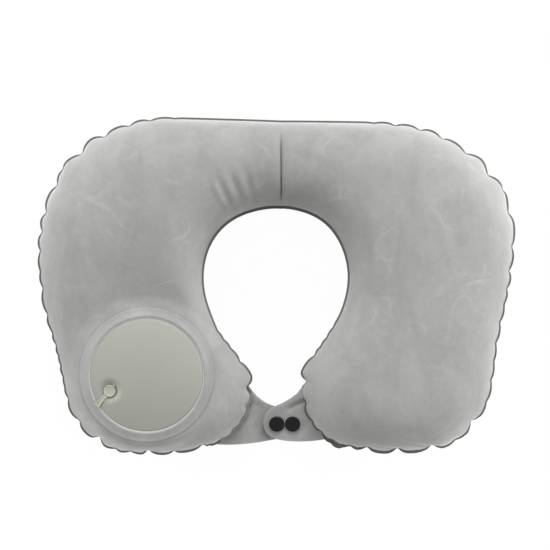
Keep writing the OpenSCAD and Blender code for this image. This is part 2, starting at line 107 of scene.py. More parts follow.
def outward(piece, up=0):
    """Turn all faces of a piece outwards. A sheet is open, so up says which side it shows, 1 for the top and
    -1 for the underside: the sign of the sum of each face's normal z times its area."""
    bm = bmesh.new()
    bm.from_mesh(piece.data)
    bmesh.ops.recalc_face_normals(bm, faces=bm.faces)
    if up and up * sum(f.normal.z * f.calc_area() for f in bm.faces) < 0:
        bmesh.ops.reverse_faces(bm, faces=bm.faces)
    bm.to_mesh(piece.data)
    bm.free()
    return piece


def thicken(piece, name, thickness, offset=-1):
    """Give a sheet its thickness in mm, all behind its faces (offset -1) or half on each side (0)."""
    skin = piece.modifiers.new(name, "SOLIDIFY")
    skin.thickness, skin.offset = thickness * MM, offset


print("quads of a 3 by 4 grid:", len(grid_quads(3, 4)), " of a ring:", len(grid_quads(3, 4, meet=True)))

# %% [markdown]
# ## Colours and shader nodes
# A colour is written as the hex code that a colour picker shows and becomes linear light in one place.
# One function adds a node with its settings and links, so that a material reads as a list of its layers.
# Patterns are drawn in millimetres of the object itself, so their sizes are real.

# %% Colours and nodes
MULTIPLY_ADD = {"operation": "MULTIPLY_ADD"}
COLOUR_MIX = {"data_type": "RGBA"}


def linear(hex_code):
    """An sRGB hex colour as linear RGBA: c / 12.92 below 0.04045, else ((c + 0.055) / 1.055) ** 2.4."""
    c = np.array([int(hex_code[i:i + 2], 16) for i in (1, 3, 5)]) / 255
    return (*np.where(c < 0.04045, c / 12.92, ((c + 0.055) / 1.055) ** 2.4).tolist(), 1.0)


def add(tree, kind, settings=None, **inputs):
    """Add one node. Settings are its own fields. Inputs are values or sockets, by the input's name with _ for
    a space, or by its number as in0 or in1."""
    made = tree.nodes.new(kind)
    for key, value in (settings or {}).items():
        setattr(made, key, value)
    for key, value in inputs.items():
        number = key.removeprefix("in")
        socket = made.inputs[int(number) if number.isdigit() else key.replace("_", " ")]
        if isinstance(value, bpy.types.NodeSocket):
            tree.links.new(value, socket)
        else:
            socket.default_value = value
    return made


def new_material(name):
    """A material with an empty node tree, and that tree."""
    material = bpy.data.materials.new(name)
    material.use_nodes = True
    material.node_tree.nodes.clear()
    return material, material.node_tree


def millimetres(tree):
    """The object's own coordinates in millimetres, so that a noise's scale is one over its size."""
    place = add(tree, "ShaderNodeTexCoord").outputs["Object"]
    return add(tree, "ShaderNodeVectorMath", {"operation": "SCALE"}, Vector=place, Scale=1 / MM).outputs[0]


print("mid grey as linear light:", round(linear("#808080")[0], 4))

# %% [markdown]
# ## Flocked vinyl
# The skin is PVC film with short nylon fibres glued upright, so it looks like suede: a matt grey that
# turns pale where it is seen edge on, with smudges where hands have brushed the nap. Hair would be too
# heavy for so short a pile, so the pale edge is the Principled shader's sheen and the smudges are slow
# noise. The real fibres are too fine to show, so their grain is drawn at about a millimetre. The weld has
# no nap left and its flange lies in shade under the puffed sheet, so an attribute on the mesh darkens it,
# partly as its own tone and partly as painted shade. Other attributes paint shade into the nape crease
# and paint light and shade by zone.

# %% Flock material
CLOUD, SMUDGE, FIBRE = 34.0, 11.0, 1.1
STROKE_PATCH, STROKE_TURN = 26.0, 44.0
# Painted shade: FOLD_SHADE darkens the nape crease, along with the tie line's own darker tone, and WELD_SHADE
# darkens the weld, partly its bare nap and partly the flange's shade under the puffed sheet.
FOLD_SHADE, WELD_SHADE = "#565852", "#5c5d56"


def flocked_vinyl(name, dark, pale, welded):
    """Noise of three sizes in mm, cloud, smudge and fibre, between a dark and a pale grey. Finger strokes lie
    where a patchy noise meets the thin ridge of a twisted one. The attribute brush paints light and shade
    into the grey, fold paints shade into the nape crease, and weld darkens the weld, partly as its own tone
    and partly as painted shade."""
    material, tree = new_material(name)
    in_mm = millimetres(tree)
    slanted = add(tree, "ShaderNodeMapping", Vector=in_mm, Rotation=(0.0, 0.0, 0.6),
                  Scale=(1.0, 0.55, 1.0)).outputs[0]
    cloud = add(tree, "ShaderNodeTexNoise", Vector=slanted, Scale=1 / CLOUD, Detail=4.0, Roughness=0.58,
                Distortion=0.9).outputs["Fac"]
    smudge = add(tree, "ShaderNodeTexNoise", Vector=in_mm, Scale=1 / SMUDGE, Detail=3.0, Roughness=0.6,
                 Distortion=1.6).outputs["Fac"]
    fibre = add(tree, "ShaderNodeTexNoise", Vector=in_mm, Scale=1 / FIBRE, Detail=2.0,
                Roughness=0.7).outputs["Fac"]
    mixed = add(tree, "ShaderNodeMath", MULTIPLY_ADD, in0=smudge, in1=0.45, in2=cloud).outputs[0]
    grained = add(tree, "ShaderNodeMath", MULTIPLY_ADD, in0=fibre, in1=0.22, in2=mixed).outputs[0]
    nap = add(tree, "ShaderNodeMapRange", Value=grained, From_Min=0.55, From_Max=1.15).outputs[0]
    colour = add(tree, "ShaderNodeMix", COLOUR_MIX, Factor=nap, A=linear(dark),
                 B=linear(pale)).outputs["Result"]

    patch = add(tree, "ShaderNodeTexNoise", Vector=in_mm, Scale=1 / STROKE_PATCH, Detail=2.0).outputs["Fac"]
    patch = add(tree, "ShaderNodeMapRange", Value=patch, From_Min=0.48, From_Max=0.66).outputs[0]
    twist = add(tree, "ShaderNodeTexNoise", Vector=in_mm, Scale=1 / STROKE_TURN, Detail=1.0, Roughness=0.5,
                Distortion=1.1).outputs["Fac"]
    off = add(tree, "ShaderNodeMath", {"operation": "SUBTRACT"}, in0=twist, in1=0.5).outputs[0]
    off = add(tree, "ShaderNodeMath", {"operation": "ABSOLUTE"}, in0=off).outputs[0]
    ridge = add(tree, "ShaderNodeMapRange", Value=off, From_Min=0.05, From_Max=0.0).outputs[0]
    stroke = add(tree, "ShaderNodeMath", {"operation": "MULTIPLY"}, in0=ridge, in1=patch).outputs[0]
    # Painted light and shade: each unit of this attribute makes the grey 10 % paler, and a negative value
    # darker.
    painted_light_and_shade = add(tree, "ShaderNodeAttribute", {"attribute_name": "painted_light_and_shade"}).outputs["Fac"]
    level = add(tree, "ShaderNodeMath", MULTIPLY_ADD, in0=painted_light_and_shade, in1=0.10, in2=1.0).outputs[0]
    level = add(tree, "ShaderNodeMath", MULTIPLY_ADD, in0=stroke, in1=0.13, in2=level).outputs[0]
    colour = add(tree, "ShaderNodeVectorMath", {"operation": "SCALE"}, Vector=colour, Scale=level).outputs[0]

    # Painted shade: fold darkens the nape crease with its tie line's tone, and weld darkens the weld, partly
    # its bare nap and partly painted shade.
    for attribute, shade in (("fold", FOLD_SHADE), ("weld", WELD_SHADE)) if welded else ():
        wear_and_shade = add(tree, "ShaderNodeAttribute", {"attribute_name": attribute}).outputs["Fac"]
        colour = add(tree, "ShaderNodeMix", COLOUR_MIX, Factor=wear_and_shade, A=colour,
                     B=linear(shade)).outputs["Result"]
    bump = add(tree, "ShaderNodeBump", Height=grained, Strength=0.25, Distance=0.0006).outputs["Normal"]
    shader = add(tree, "ShaderNodeBsdfPrincipled", Base_Color=colour, Normal=bump, Roughness=0.92,
                 Specular_IOR_Level=0.15, Sheen_Weight=0.9, Sheen_Roughness=0.42,
                 Sheen_Tint=linear("#f3f3f2"))
    add(tree, "ShaderNodeOutputMaterial", Surface=shader.outputs["BSDF"])
    return material


panel_flock = flocked_vinyl("grey_flocked_vinyl", "#898988", "#9b9b9a", True)
# Painted light: the tab's flock is the panel's flock made paler.
painted_paler_tab_flock = flocked_vinyl("grey_flocked_vinyl_tab_painted_paler", "#8d8d8c", "#a6a6a5", False)
print("flock ready:", panel_flock.name, painted_paler_tab_flock.name)

# %% [markdown]
# ## The rim
# Seen from above the pillow is a belt of circles joined by their common tangents: shoulder, hip, lobe
# tip, gap corner and the neck circle, which turns the other way. A drawn curve could trace it too, but
# circles can be inset: every radius shrinks by the same amount, so an inset rail stays parallel to the
# rim. Each arm has an outer and an inner rail, both from the lobe tip to the nape.

# %% Rails of both arms
PILLOW_W, PILLOW_H = 405.0, 287.0
SHOULDER_R, SHOULDER_DROP = 110.0, 4.0
HIP_R, HIP_INSET = 62.0, 23.0
GAP_W, GAP_R = 42.6, 8.0
GAP_Y = {-1: -79.0, 1: -76.0}
NECK_Y, NECK_R = 4.0, 61.0
NAPE_X, NAPE_DIP = 4.0, 4.0
TIP_R, TIP_RISE, TIP_HEADING = 50.0, 4.5, 165.0
TIP = np.array([GAP_W / 2 + TIP_R, TIP_RISE + TIP_R - PILLOW_H / 2])
SEAM_Z = 43.5
FLANGE = 1.7
ARC_STEP = 0.5


def belt(side, inset):
    """Circles (x, y, radius) of one arm, with the left arm turned over to the right, from the nape point to
    the neck circle; a negative radius turns left."""
    drop = SHOULDER_DROP if side > 0 else 0
    return np.array([
        (NAPE_X * side, PILLOW_H / 2 - NAPE_DIP - inset, 0),
        (PILLOW_W / 2 - SHOULDER_R, PILLOW_H / 2 - drop - SHOULDER_R, SHOULDER_R - inset),
        (PILLOW_W / 2 - HIP_INSET - HIP_R, HIP_R - PILLOW_H / 2, HIP_R - inset),
        (*TIP, TIP_R - inset),
        (GAP_W / 2 + GAP_R, GAP_Y[side], GAP_R - inset),
        (0, NECK_Y, -NECK_R - inset),
    ])


def heading(a, b):
    """Direction in degrees of the tangent from circle a to circle b: the line of centres turned back by
    asin((ra - rb) / distance)."""
    d = b[:2] - a[:2]
    return math.degrees(math.atan2(d[1], d[0]) - math.asin((a[2] - b[2]) / math.hypot(*d)))


def arc(c, start, stop):
    """Points every 0.5 mm on circle c while the heading turns from start to stop, clockwise if c[2] > 0."""
    turn = -((start - stop) % 360) if c[2] > 0 else (stop - start) % 360
    n = max(3, int(math.radians(abs(turn)) * abs(c[2]) / ARC_STEP))
    h = np.radians(start + 90 + turn * np.linspace(0, 1, n))
    return np.stack([c[0] + c[2] * np.cos(h), c[1] + c[2] * np.sin(h)], 1)


def rails(side, inset):
    """Outer and inner rail of one arm (side -1 left, 1 right), from the lobe tip to the nape."""
    c = belt(side, inset)
    h = [heading(a, b) for a, b in zip(c, c[1:])]
    nape = 90 + math.degrees(math.acos(-c[0, 0] / c[5, 2]))
    outer = np.vstack([c[:1, :2], arc(c[1], h[0], h[1]), arc(c[2], h[1], h[2]), arc(c[3], h[2], TIP_HEADING)])
    inner = np.vstack([arc(c[3], TIP_HEADING, h[3]), arc(c[4], h[3], h[4]), arc(c[5], h[4], nape)])
    return outer[::-1] * [side, 1], inner * [side, 1]


def run(path):
    """Distance along a path at each of its points."""
    return np.concatenate([[0], np.cumsum(np.hypot(*np.diff(path, axis=0).T))])


def at_share(path, share):
    """Points of a path at shares of its length."""
    d = run(path) / run(path)[-1]
    return np.stack([np.interp(share, d, path[:, 0]), np.interp(share, d, path[:, 1])], -1)


rail_length = {side: [run(p)[-1] for p in rails(side, 0)] for side in (-1, 1)}
print("rim lengths, mm:", {k: [round(x, 1) for x in v] for k, v in rail_length.items()})

# %% [markdown]
# ## Puckers
# A flat sheet has too much rim once it is blown up, so the weld gathers into scallops with a nick between
# them. One wave repeated along the rim would look machined, so each nick is given by its distance along
# the rim from the lobe tip and its depth. The straight top edge and the concave neck edge stay smooth, as
# they do on the real pillow.

# %% Nicks along the rim
OUTER_NICKS = {
    -1: [(3.2, 3.0), (28.8, 2.0), (50.8, 3.2), (66.4, 2.0), (79.6, 1.6), (96.8, 4.4), (120, 2.2),
         (141.2, 1.5), (152, 0.7), (160.4, 1.0), (170.8, 1.0), (179, 0.8), (188.4, 1.3), (199.2, 1.2),
         (215.6, 1.4), (238.4, 1.5), (253, 0.8), (270.4, 1.6), (286.8, 2.2), (304, 2.3), (329.6, 2.2),
         (343.6, 1.6), (364.4, 2.4), (389.6, 2.4), (412.4, 2.0), (430.8, 1.4), (452, 0.5)],
    1: [(4, 2.2), (18.4, 2.9), (44.8, 3.4), (75.6, 4.2), (97, 1.2), (118.4, 4.0), (139, 0.9), (158, 1.2),
        (174, 0.7), (190, 1.2), (208, 1.2), (224, 0.8), (237.6, 1.3), (253.2, 1.5), (274, 1.6), (303.2, 1.6),
        (322.8, 2.4), (340, 1.4), (366.8, 1.7), (390.8, 2.2), (411.6, 2.0), (433.6, 1.6), (452, 0.6)],
}
INNER_NICKS = {
    -1: [(14, 1.3), (27, 1.6), (38, 0.9), (50, 1.4), (65.4, 3.4), (90, 1.2), (104, 0.6), (113, 0.7),
         (122, 0.5)],
    1: [(12, 1.2), (24, 1.4), (36, 1.0), (53, 2.0), (70.8, 3.6), (95.6, 1.2), (105, 0.6), (114, 0.7),
        (124, 0.5)],
}


def nick(s, nicks, width):
    """Depth of the gathers at distance s: the sum of depth * exp(-(|s - place| / width) ** 1.3), less the
    bulge of the scallop between two nicks, a half sine of 0.25 times the shallower of them."""
    place, depth = np.array(nicks).T
    k = np.clip(np.searchsorted(place, s) - 1, 0, len(place) - 2)
    t = np.clip((s - place[k]) / (place[k + 1] - place[k]), 0, 1)
    bulge = 0.25 * np.minimum(depth[k], depth[k + 1]) * np.sin(np.pi * t)
    return (depth * np.exp(-(np.abs(s[:, None] - place) / width) ** 1.3)).sum(1) - bulge


print("nicks of both arms, outer and inner rim:",
      [sum(map(len, nicks.values())) for nicks in (OUTER_NICKS, INNER_NICKS)])

# %% [markdown]
# ## Stations
# The sheet becomes a grid whose rows run across the arms. A row has to lie on every nick and on the
# crease at the nape, or the mesh would step over them, so the rows are even steps mixed with these marks.

# %% Rows of the grid
ROW_STEP, NAPE_STEP, NAPE_ZONE = 4.0, 2.0, 90.0
FIRST_ROW = 2.5
NICK_ROWS = np.array([-2.4, 0, 2.4])
CREASE_ROWS = np.array([8, 5.5, 3.6, 2.2, 1.2, 0.5, 0])
CREASE_ZONE = 9.0


def rows_of(side):
    """Distances along the outer rim: even steps, half as long within 90 mm of the nape, three rows on each
    nick and a close set at the crease. Even rows keep 1.7 mm away from the others, and a row less than
    0.45 mm after another is dropped."""
    outer, inner = rail_length[side]
    marks = np.array([p for p, _ in OUTER_NICKS[side]] + [p * outer / inner for p, _ in INNER_NICKS[side]])
    fixed = np.concatenate([(marks[:, None] + NICK_ROWS).ravel(), outer - CREASE_ROWS])
    even = np.concatenate([np.arange(FIRST_ROW, outer - NAPE_ZONE - NAPE_STEP, ROW_STEP),
                           np.arange(outer - NAPE_ZONE, outer - CREASE_ZONE, NAPE_STEP)])
    even = even[np.abs(even[:, None] - fixed).min(1) > 1.7]
    s = np.sort(np.concatenate([even, fixed[(fixed > 2) & (fixed <= outer)]]))
    return s[np.concatenate([[True], np.diff(s) > 0.45])]


ROWS = {side: rows_of(side) for side in (-1, 1)}
LEFT = len(ROWS[-1])


def two_arms(function):
    """Stack a per-station quantity of the left arm, tip to nape, and of the right arm, nape to tip."""
    return np.concatenate([function(-1), function(1)[::-1][1:]])


def along(side, which):
    """Distance of each station of one arm along its outer (0) or inner (1) rail."""
    return ROWS[side] / rail_length[side][0] * rail_length[side][which]


outer_s, inner_s = [two_arms(lambda side: along(side, which)) for which in (0, 1)]
nape_off = two_arms(lambda side: rail_length[side][0] - ROWS[side])
print("stations round the U:", len(nape_off), "of which left:", LEFT)

# %% [markdown]
# ## An uneven rim
# No pillow is blown up evenly: some stretches of the rim stand out by a few millimetres and others draw
# in. Each such stretch is a bell curve with a place along the rim, a width and a height, all in
# millimetres.

# %% Rim points with their sway
OUTER_SWAY = {
    -1: [(29, 14, 2.2), (150, 30, 1.2), (222, 34, 3.8), (347, 9, 3.4), (378, 8, 2.2), (543.6, 75, 1.2)],
    1: [(64, 17, -3.4), (150, 28, 3.4), (257, 9, -1.2), (296, 13, 2.4), (324, 11, 6.0), (353, 8, 3.6),
        (425, 16, -0.9), (531.6, 75, 1.2)],
}
INNER_SWAY = {
    -1: [(80, 14, 1.1), (124, 12, -2.2), (108, 14, -0.8), (214, 36, -3.6), (268.7, 18, -1.1)],
    1: [(86, 14, 1.3), (150, 22, 1.1), (222, 31, -3.7), (261.1, 18, -0.9)],
}


def sway(s, bells):
    """How far the rim stands out at distance s: the sum of height * exp(-((s - place) / width) ** 2)."""
    place, width, height = np.array(bells).T
    return (height * np.exp(-((s[:, None] - place) / width) ** 2)).sum(1)


def normal_left(path):
    """Unit normals to the left of a path of stations."""
    t = np.gradient(path, axis=0)
    return np.stack([-t[:, 1], t[:, 0]], 1) / np.linalg.norm(t, axis=1, keepdims=True)


def rim(which, bells, out):
    """The weld line at every station of the outer (0) or inner (1) rail, with its sway; out is 1 if the
    outside lies to its left, else -1."""
    path = two_arms(lambda side: at_share(rails(side, FLANGE)[which], ROWS[side] / rail_length[side][0]))
    off = two_arms(lambda side: sway(along(side, which), bells[side]))
    return path + out * normal_left(path) * off[:, None]


crown_out, crown_in = rim(0, OUTER_SWAY, 1), rim(1, INNER_SWAY, -1)
arm_width = np.linalg.norm(crown_out - crown_in, axis=1)
print("least and most width of the arms, mm:", arm_width.min().round(1), arm_width.max().round(1))

# %% [markdown]
# ## The air-filled form
# A film stretched over the rim and pushed up by an even pressure rises by a height whose Laplacian is
# constant. Its square root has the round edge of a balloon, and a sine eases the crown so that the wide
# lobes do not tower over the nape. A plain loft across the arms would crease at the lobe tips, where the
# film stays smooth. It is solved by conjugate gradients on the plan's triangles.

# %% Height of the film over the plan
FILM_COLS, ACROSS = 36, 46


def cross(u, v):
    """Area of the parallelogram of two plane vectors: |ux vy - uy vx|."""
    return np.abs(u[..., 0] * v[..., 1] - u[..., 1] * v[..., 0])


def film_height(plan, most_steps=900, close=1e-10):
    """Solve laplacian = -1 with zero on the rim, on a (rows, cols, 2) grid, with cotangent weights."""
    rows, cols = plan.shape[:2]
    q = grid_quads(rows, cols)
    tri = np.concatenate([q[:, [0, 1, 2]], q[:, [0, 2, 3]]])
    p = plan.reshape(-1, 2)
    start, stop, weight, load = [], [], [], np.zeros(len(p))
    for a, b, c in ((0, 1, 2), (1, 2, 0), (2, 0, 1)):
        u, v = p[tri[:, b]] - p[tri[:, a]], p[tri[:, c]] - p[tri[:, a]]
        area = cross(u, v) + 1e-9
        start.append(tri[:, b])
        stop.append(tri[:, c])
        weight.append((u * v).sum(1) / area / 2)
        load += np.bincount(tri[:, a], area / 6, len(p))
    start, stop, weight = map(np.concatenate, (start, stop, weight))
    free = np.zeros((rows, cols), bool)
    free[1:-1, 1:-1] = True
    free = free.ravel()

    def apply(x):
        flow = weight * (x[start] - x[stop])
        return (np.bincount(start, flow, len(p)) - np.bincount(stop, flow, len(p))) * free

    x = np.zeros(len(p))
    r = load * free
    d, old = r.copy(), r @ r
    for _ in range(most_steps):
        ad = apply(d)
        step = old / (d @ ad)
        x += step * d
        r -= step * ad
        new = r @ r
        if new < close * (load @ load):
            break
        d, old = r + d * new / old, new
    return np.maximum(x, 0).reshape(rows, cols)


film = film_height(span(crown_out, crown_in, np.linspace(0, 1, FILM_COLS + 1)))
across = (1 - np.cos(np.pi * np.arange(ACROSS + 1) / ACROSS)) / 2
low = np.minimum((across * FILM_COLS).astype(int), FILM_COLS - 1)
part = across * FILM_COLS - low
swell = np.sqrt((film[:, low] * (1 - part) + film[:, low + 1] * part) / film.max())
plan = span(crown_out, crown_in, across)
print("film solved, most swell at the nape:", swell[LEFT - 1].max().round(3), " at all:", swell.max().round(3))

# %% [markdown]
# ## The pump seat
# The pump holds the front sheet down like a drum. A hole cut by a boolean would leave a hard edge in the
# soft sheet, so a shallow dish is taken out of the crown instead: a cone with a rounded foot, met by a
# smooth lower envelope, and a flat in the middle.

# %% Heights of both crowns and the seat
FRONT_DEPTH, BACK_DEPTH = 47.0, 44.0
PUMP = np.array([-109.5, -75.0])
SEAT_Z, SEAT_H = SEAM_Z + 34.0, 33.4
DISH_R, DISH_SLOPE, DISH_ROUND = 65.5, 0.257, 4.0
DISH_SOFT, SOFT_FROM = 8.0, 25.0
FLAT_R, FLAT_RUN = 56.5, 12.0


def from_axis(xy, centre):
    """Distance of each point of a grid from a vertical axis."""
    return np.hypot(xy[..., 0] - centre[0], xy[..., 1] - centre[1])


def crown(depth):
    """Height of one sheet over the seam: depth * sin(90 degrees * swell ** 1.08)."""
    return depth * np.sin(np.pi / 2 * swell ** 1.08)


def under(a, b, soft):
    """Smooth lower envelope of a and b, rounded over a height of about soft."""
    return (a + b - np.sqrt((a - b) ** 2 + soft ** 2)) / 2


def ease(x):
    """Smooth step from 0 to 1: 3 x^2 - 2 x^3 with x held between 0 and 1."""
    x = np.clip(x, 0, 1)
    return x * x * (3 - 2 * x)


pump_r = from_axis(plan, PUMP)
front_z, back_z = crown(FRONT_DEPTH), crown(BACK_DEPTH)
dish = SEAT_H + DISH_SLOPE * (np.hypot(pump_r - DISH_R, DISH_ROUND) + pump_r - DISH_R) / 2
front_z = np.maximum(under(front_z, dish, DISH_SOFT * ease(front_z / SOFT_FROM)), 0)
front_z += (SEAT_H - front_z) * (1 - ease((pump_r - FLAT_R) / FLAT_RUN))
print("front height over the seam at the pump and at most, mm:", front_z[pump_r < FLAT_R].max().round(1),
      front_z.max().round(1))

# %% [markdown]
# ## Nape crease and soft folds
# A tie inside the nape pulls a sharp crease into both sheets, every nick pulls a short fold inwards, and
# round the neck the sheet is bent the wrong way and waves a little. Sculpting could do it by hand, but
# here each is a formula, laid on the film as a move along the surface normal.

# %% Front and back surfaces before inflation
CREASE_DEPTH = 3.0
PULL_REACH = 7.0
OUTER_PULL, INNER_PULL = (3.2, 1.6), (3.0, 0.4)
FOLD_STEP, FOLD_PLACE, FOLD_REACH = 8.0, 31.0, 16.0
FOLD_IN, FOLD_LENGTH = 23.0, 13.0
LEFT_FOLDS, RIGHT_FOLDS = 0.8, 0.3
OUT_OF_OUTER, OUT_OF_INNER = normal_left(crown_out), -normal_left(crown_in)
crease = np.exp(-(nape_off / 2.6) ** 1.1)


def gathers(nicks_of, which, width):
    """Nick depth at each station of both arms, on the outer (0) or inner (1) rail."""
    return two_arms(lambda side: nick(along(side, which), nicks_of[side], width))


def pull(nicks_of, which, shape, from_rim):
    """How far the nicks of one rail pull the sheet in: their depth, with the width that shape gives, times
    exp(-distance from the rim / reach). The reach is 7 mm and grows with the depth, by shape's second
    number."""
    width, growth = shape
    depth = gathers(nicks_of, which, width)[:, None]
    return depth * np.exp(-from_rim / (PULL_REACH + growth * np.maximum(depth, 0)))


def crease_fade(xy):
    """Share of the crease: it starts 5 mm inside the top edge and is full 22 mm further on; it is full until
    11 mm from the neck edge and ends 2 mm from it. Both are smooth steps."""
    from_top = np.linalg.norm(xy - xy[:, :1], axis=-1)
    from_neck = np.linalg.norm(xy - xy[:, -1:], axis=-1)
    return ease((from_top - 5) / 22) * ease((from_neck - 2) / 9)


def neck_folds():
    """Waves along the neck rim, a sine that is itself swayed by a slower one, inside a bell along the rim and
    another across it."""
    from_nape = (inner_s[LEFT - 1] - inner_s)[:, None]
    from_neck = np.linalg.norm(plan - plan[:, -1:], axis=-1)
    strength = np.where(np.arange(len(plan)) < LEFT, LEFT_FOLDS, RIGHT_FOLDS)[:, None]
    waves = np.sin(2 * np.pi * from_nape / FOLD_STEP + 0.9 * np.sin(from_nape / 9))
    place = np.exp(-((from_nape - FOLD_PLACE) / FOLD_REACH) ** 4)
    return strength * waves * place * np.exp(-((from_neck - FOLD_IN) / FOLD_LENGTH) ** 2)


def sheet(z, sign):
    """One sheet as a (rows, cols, 3) grid: the film moved along its normal by the pull of the nicks, the
    crease and the neck folds. On the rim the normal is the rail's own, level and outwards."""
    p = np.concatenate([plan, z[..., None]], -1)
    n = np.cross(np.gradient(p, axis=1), np.gradient(p, axis=0))
    n /= np.linalg.norm(n, axis=-1, keepdims=True) + 1e-12
    n *= np.sign(n[..., 2:] + 1e-9)
    n[:, 0, :2], n[:, -1, :2] = OUT_OF_OUTER, OUT_OF_INNER
    n[:, [0, -1], 2] = 0
    step = np.linalg.norm(np.diff(p, axis=1), axis=-1)
    from_outer = np.concatenate([np.zeros((len(p), 1)), np.cumsum(step, 1)], 1)
    move = -pull(OUTER_NICKS, 0, OUTER_PULL, from_outer)
    move -= pull(INNER_NICKS, 1, INNER_PULL, from_outer[:, -1:] - from_outer)
    move -= CREASE_DEPTH * crease[:, None] * crease_fade(plan)
    move += neck_folds()
    p = p + n * move[..., None]
    p[..., 2] *= sign
    return p + [0, 0, SEAM_Z]


front, back = sheet(front_z, 1), sheet(back_z, -1)
print("front top, mm:", front[..., 2].max().round(1), " back bottom, mm:", back[..., 2].min().round(1))

# %% [markdown]
# ## Blowing it up
# The two sheets become one closed bladder and Blender's Cloth blows it up: the rim, the pump seat and the
# crease are pinned, the sheet is given two per cent of slack near its rim, and pressure turns that slack
# into soft folds at the nicks. A formula alone looks too even there. No point may go further than 2.5 mm.
# The result is read back into the arrays, so no Cloth stays.

# %% The closed bladder and what holds it
HELD_R = 67.0
ring = np.concatenate([front, back[:, -2:0:-1]], 1)
rows, cols = ring.shape[:2]
poles = np.array([[*rails(side, FLANGE)[0][0], SEAM_Z] for side in (-1, 1)])
points = np.concatenate([ring.reshape(-1, 3), poles])
end_ring, pole = np.arange(cols), rows * cols
faces = grid_quads(rows, cols, wrap=True).tolist()
faces += fan(pole, end_ring, back=True) + fan(pole + 1, end_ring + (rows - 1) * cols)
held = np.zeros((rows, cols), bool)
held[:, [0, ACROSS]] = True
held[:, 1:ACROSS] |= pump_r[:, 1:-1] < HELD_R
held[nape_off < 0.3] = True
held = np.concatenate([held.ravel(), [True, True]])
print("bladder points:", len(points), " held:", held.sum())

# %% Cloth simulation of the bladder
FRAMES, MOST_MOVE, SLACK_REACH = 20, 2.5, 20.0


def blow_up(points, faces, held, slack):
    """Run pressure cloth on a closed mesh and return its points. A move of length m becomes
    limit * tanh(m / limit), so none is longer than the limit."""
    bladder = outward(make_piece("bladder", points, faces, panel_flock, None))
    bladder.vertex_groups.new(name="held").add(np.flatnonzero(held).tolist(), 1.0, "REPLACE")
    loose = bladder.vertex_groups.new(name="slack")
    for level in range(1, 11):
        loose.add(np.flatnonzero(np.round(slack * 10) == level).tolist(), level / 10, "REPLACE")
    cloth = bladder.modifiers.new("cloth", "CLOTH")
    setting = cloth.settings
    setting.vertex_group_mass = "held"
    setting.quality = 6
    setting.mass = 0.3
    setting.tension_stiffness = setting.compression_stiffness = 22
    setting.shear_stiffness = 8
    setting.bending_stiffness = 0.25
    setting.vertex_group_shrink = "slack"
    setting.shrink_min, setting.shrink_max = 0.0, -0.02
    setting.use_pressure = True
    setting.uniform_pressure_force = 5.0
    setting.effector_weights.gravity = 0
    cloth.collision_settings.use_collision = False
    scene = bpy.context.scene
    for f in range(1, FRAMES + 1):
        scene.frame_set(f)
    done = bladder.evaluated_get(bpy.context.evaluated_depsgraph_get()).data
    moved = np.empty(len(done.vertices) * 3)
    done.vertices.foreach_get("co", moved)
    move = moved.reshape(-1, 3) / MM - points
    far = np.linalg.norm(move, axis=1, keepdims=True)
    move *= MOST_MOVE * np.tanh(far / MOST_MOVE) / np.maximum(far, 1e-9)
    scene.frame_set(1)
    bpy.data.objects.remove(bladder, do_unlink=True)
    print("blown up: mean move, mm", far.mean().round(2), " most", far.max().round(2))
    return points + move


step = np.linalg.norm(np.diff(ring, axis=1, append=ring[:, :1]), axis=-1)
gone = np.concatenate([np.zeros((rows, 1)), np.cumsum(step, 1)], 1)
here = gone[:, :-1]
from_weld = np.stack([here, np.abs(here - gone[:, [ACROSS]]), gone[:, -1:] - here]).min(0)
slack = np.concatenate([np.exp(-(from_weld / SLACK_REACH) ** 2).ravel(), [1, 1]])
points = blow_up(points, faces, held, slack)
ring = points[:rows * cols].reshape(rows, cols, 3)
front = ring[:, :ACROSS + 1].copy()
back = np.concatenate([ring[:, :1], ring[:, :ACROSS - 1:-1]], 1)
print("front top, mm:", front[..., 2].max().round(1), " back bottom, mm:", back[..., 2].min().round(1))

# %% [markdown]
# ## No overhang
# Near a nick the blown-up sheet can hang over its own weld line, where two welded sheets never do. Such
# points are moved back inside the line in plan. A point is inside if a ray from it to the right meets the
# line an odd number of times.

# %% Points tucked inside the weld
LEAST_INSIDE = 0.35
weld_line = np.concatenate([front[::-1, 0, :2], poles[:1, :2], front[:, -1, :2], poles[1:, :2]])
x, y = weld_line.T
TURN = -np.sign((x * np.roll(y, -1) - y * np.roll(x, -1)).sum())


def tuck(grid, least):
    """Move points that hang over the weld line, or lie less than least inside it, to least inside it."""
    p = grid[:, 1:-1, :2].reshape(-1, 1, 2)
    a, b = weld_line[None], np.roll(weld_line, -1, 0)[None]
    share = np.clip(((p - a) * (b - a)).sum(-1) / ((b - a) ** 2).sum(-1), 0, 1)
    foot = a + share[..., None] * (b - a)
    gap = np.linalg.norm(foot - p, axis=-1)
    near = gap.argmin(1)
    nearest = foot[np.arange(len(p)), near]
    across_y = (a[..., 1] > p[..., 1]) != (b[..., 1] > p[..., 1])
    at_x = a[..., 0] + (p[..., 1] - a[..., 1]) * (b - a)[..., 0] / ((b - a)[..., 1] + 1e-12)
    inside = (across_y & (p[..., 0] < at_x)).sum(1) % 2 == 1
    line = (b - a)[0, near] / np.linalg.norm((b - a)[0, near], axis=1, keepdims=True)
    within = np.stack([line[:, 1], -line[:, 0]], 1) * TURN
    hangs = np.where(inside, 1, -1) * gap.min(1) < least
    moved = np.where(hangs[:, None], nearest + within * least, p[:, 0])
    grid[:, 1:-1, :2] = moved.reshape(*grid[:, 1:-1].shape[:2], 2)
    return int(hangs.sum())


print("points tucked inside the weld, front and back:", tuck(front, LEAST_INSIDE), tuck(back, LEAST_INSIDE))

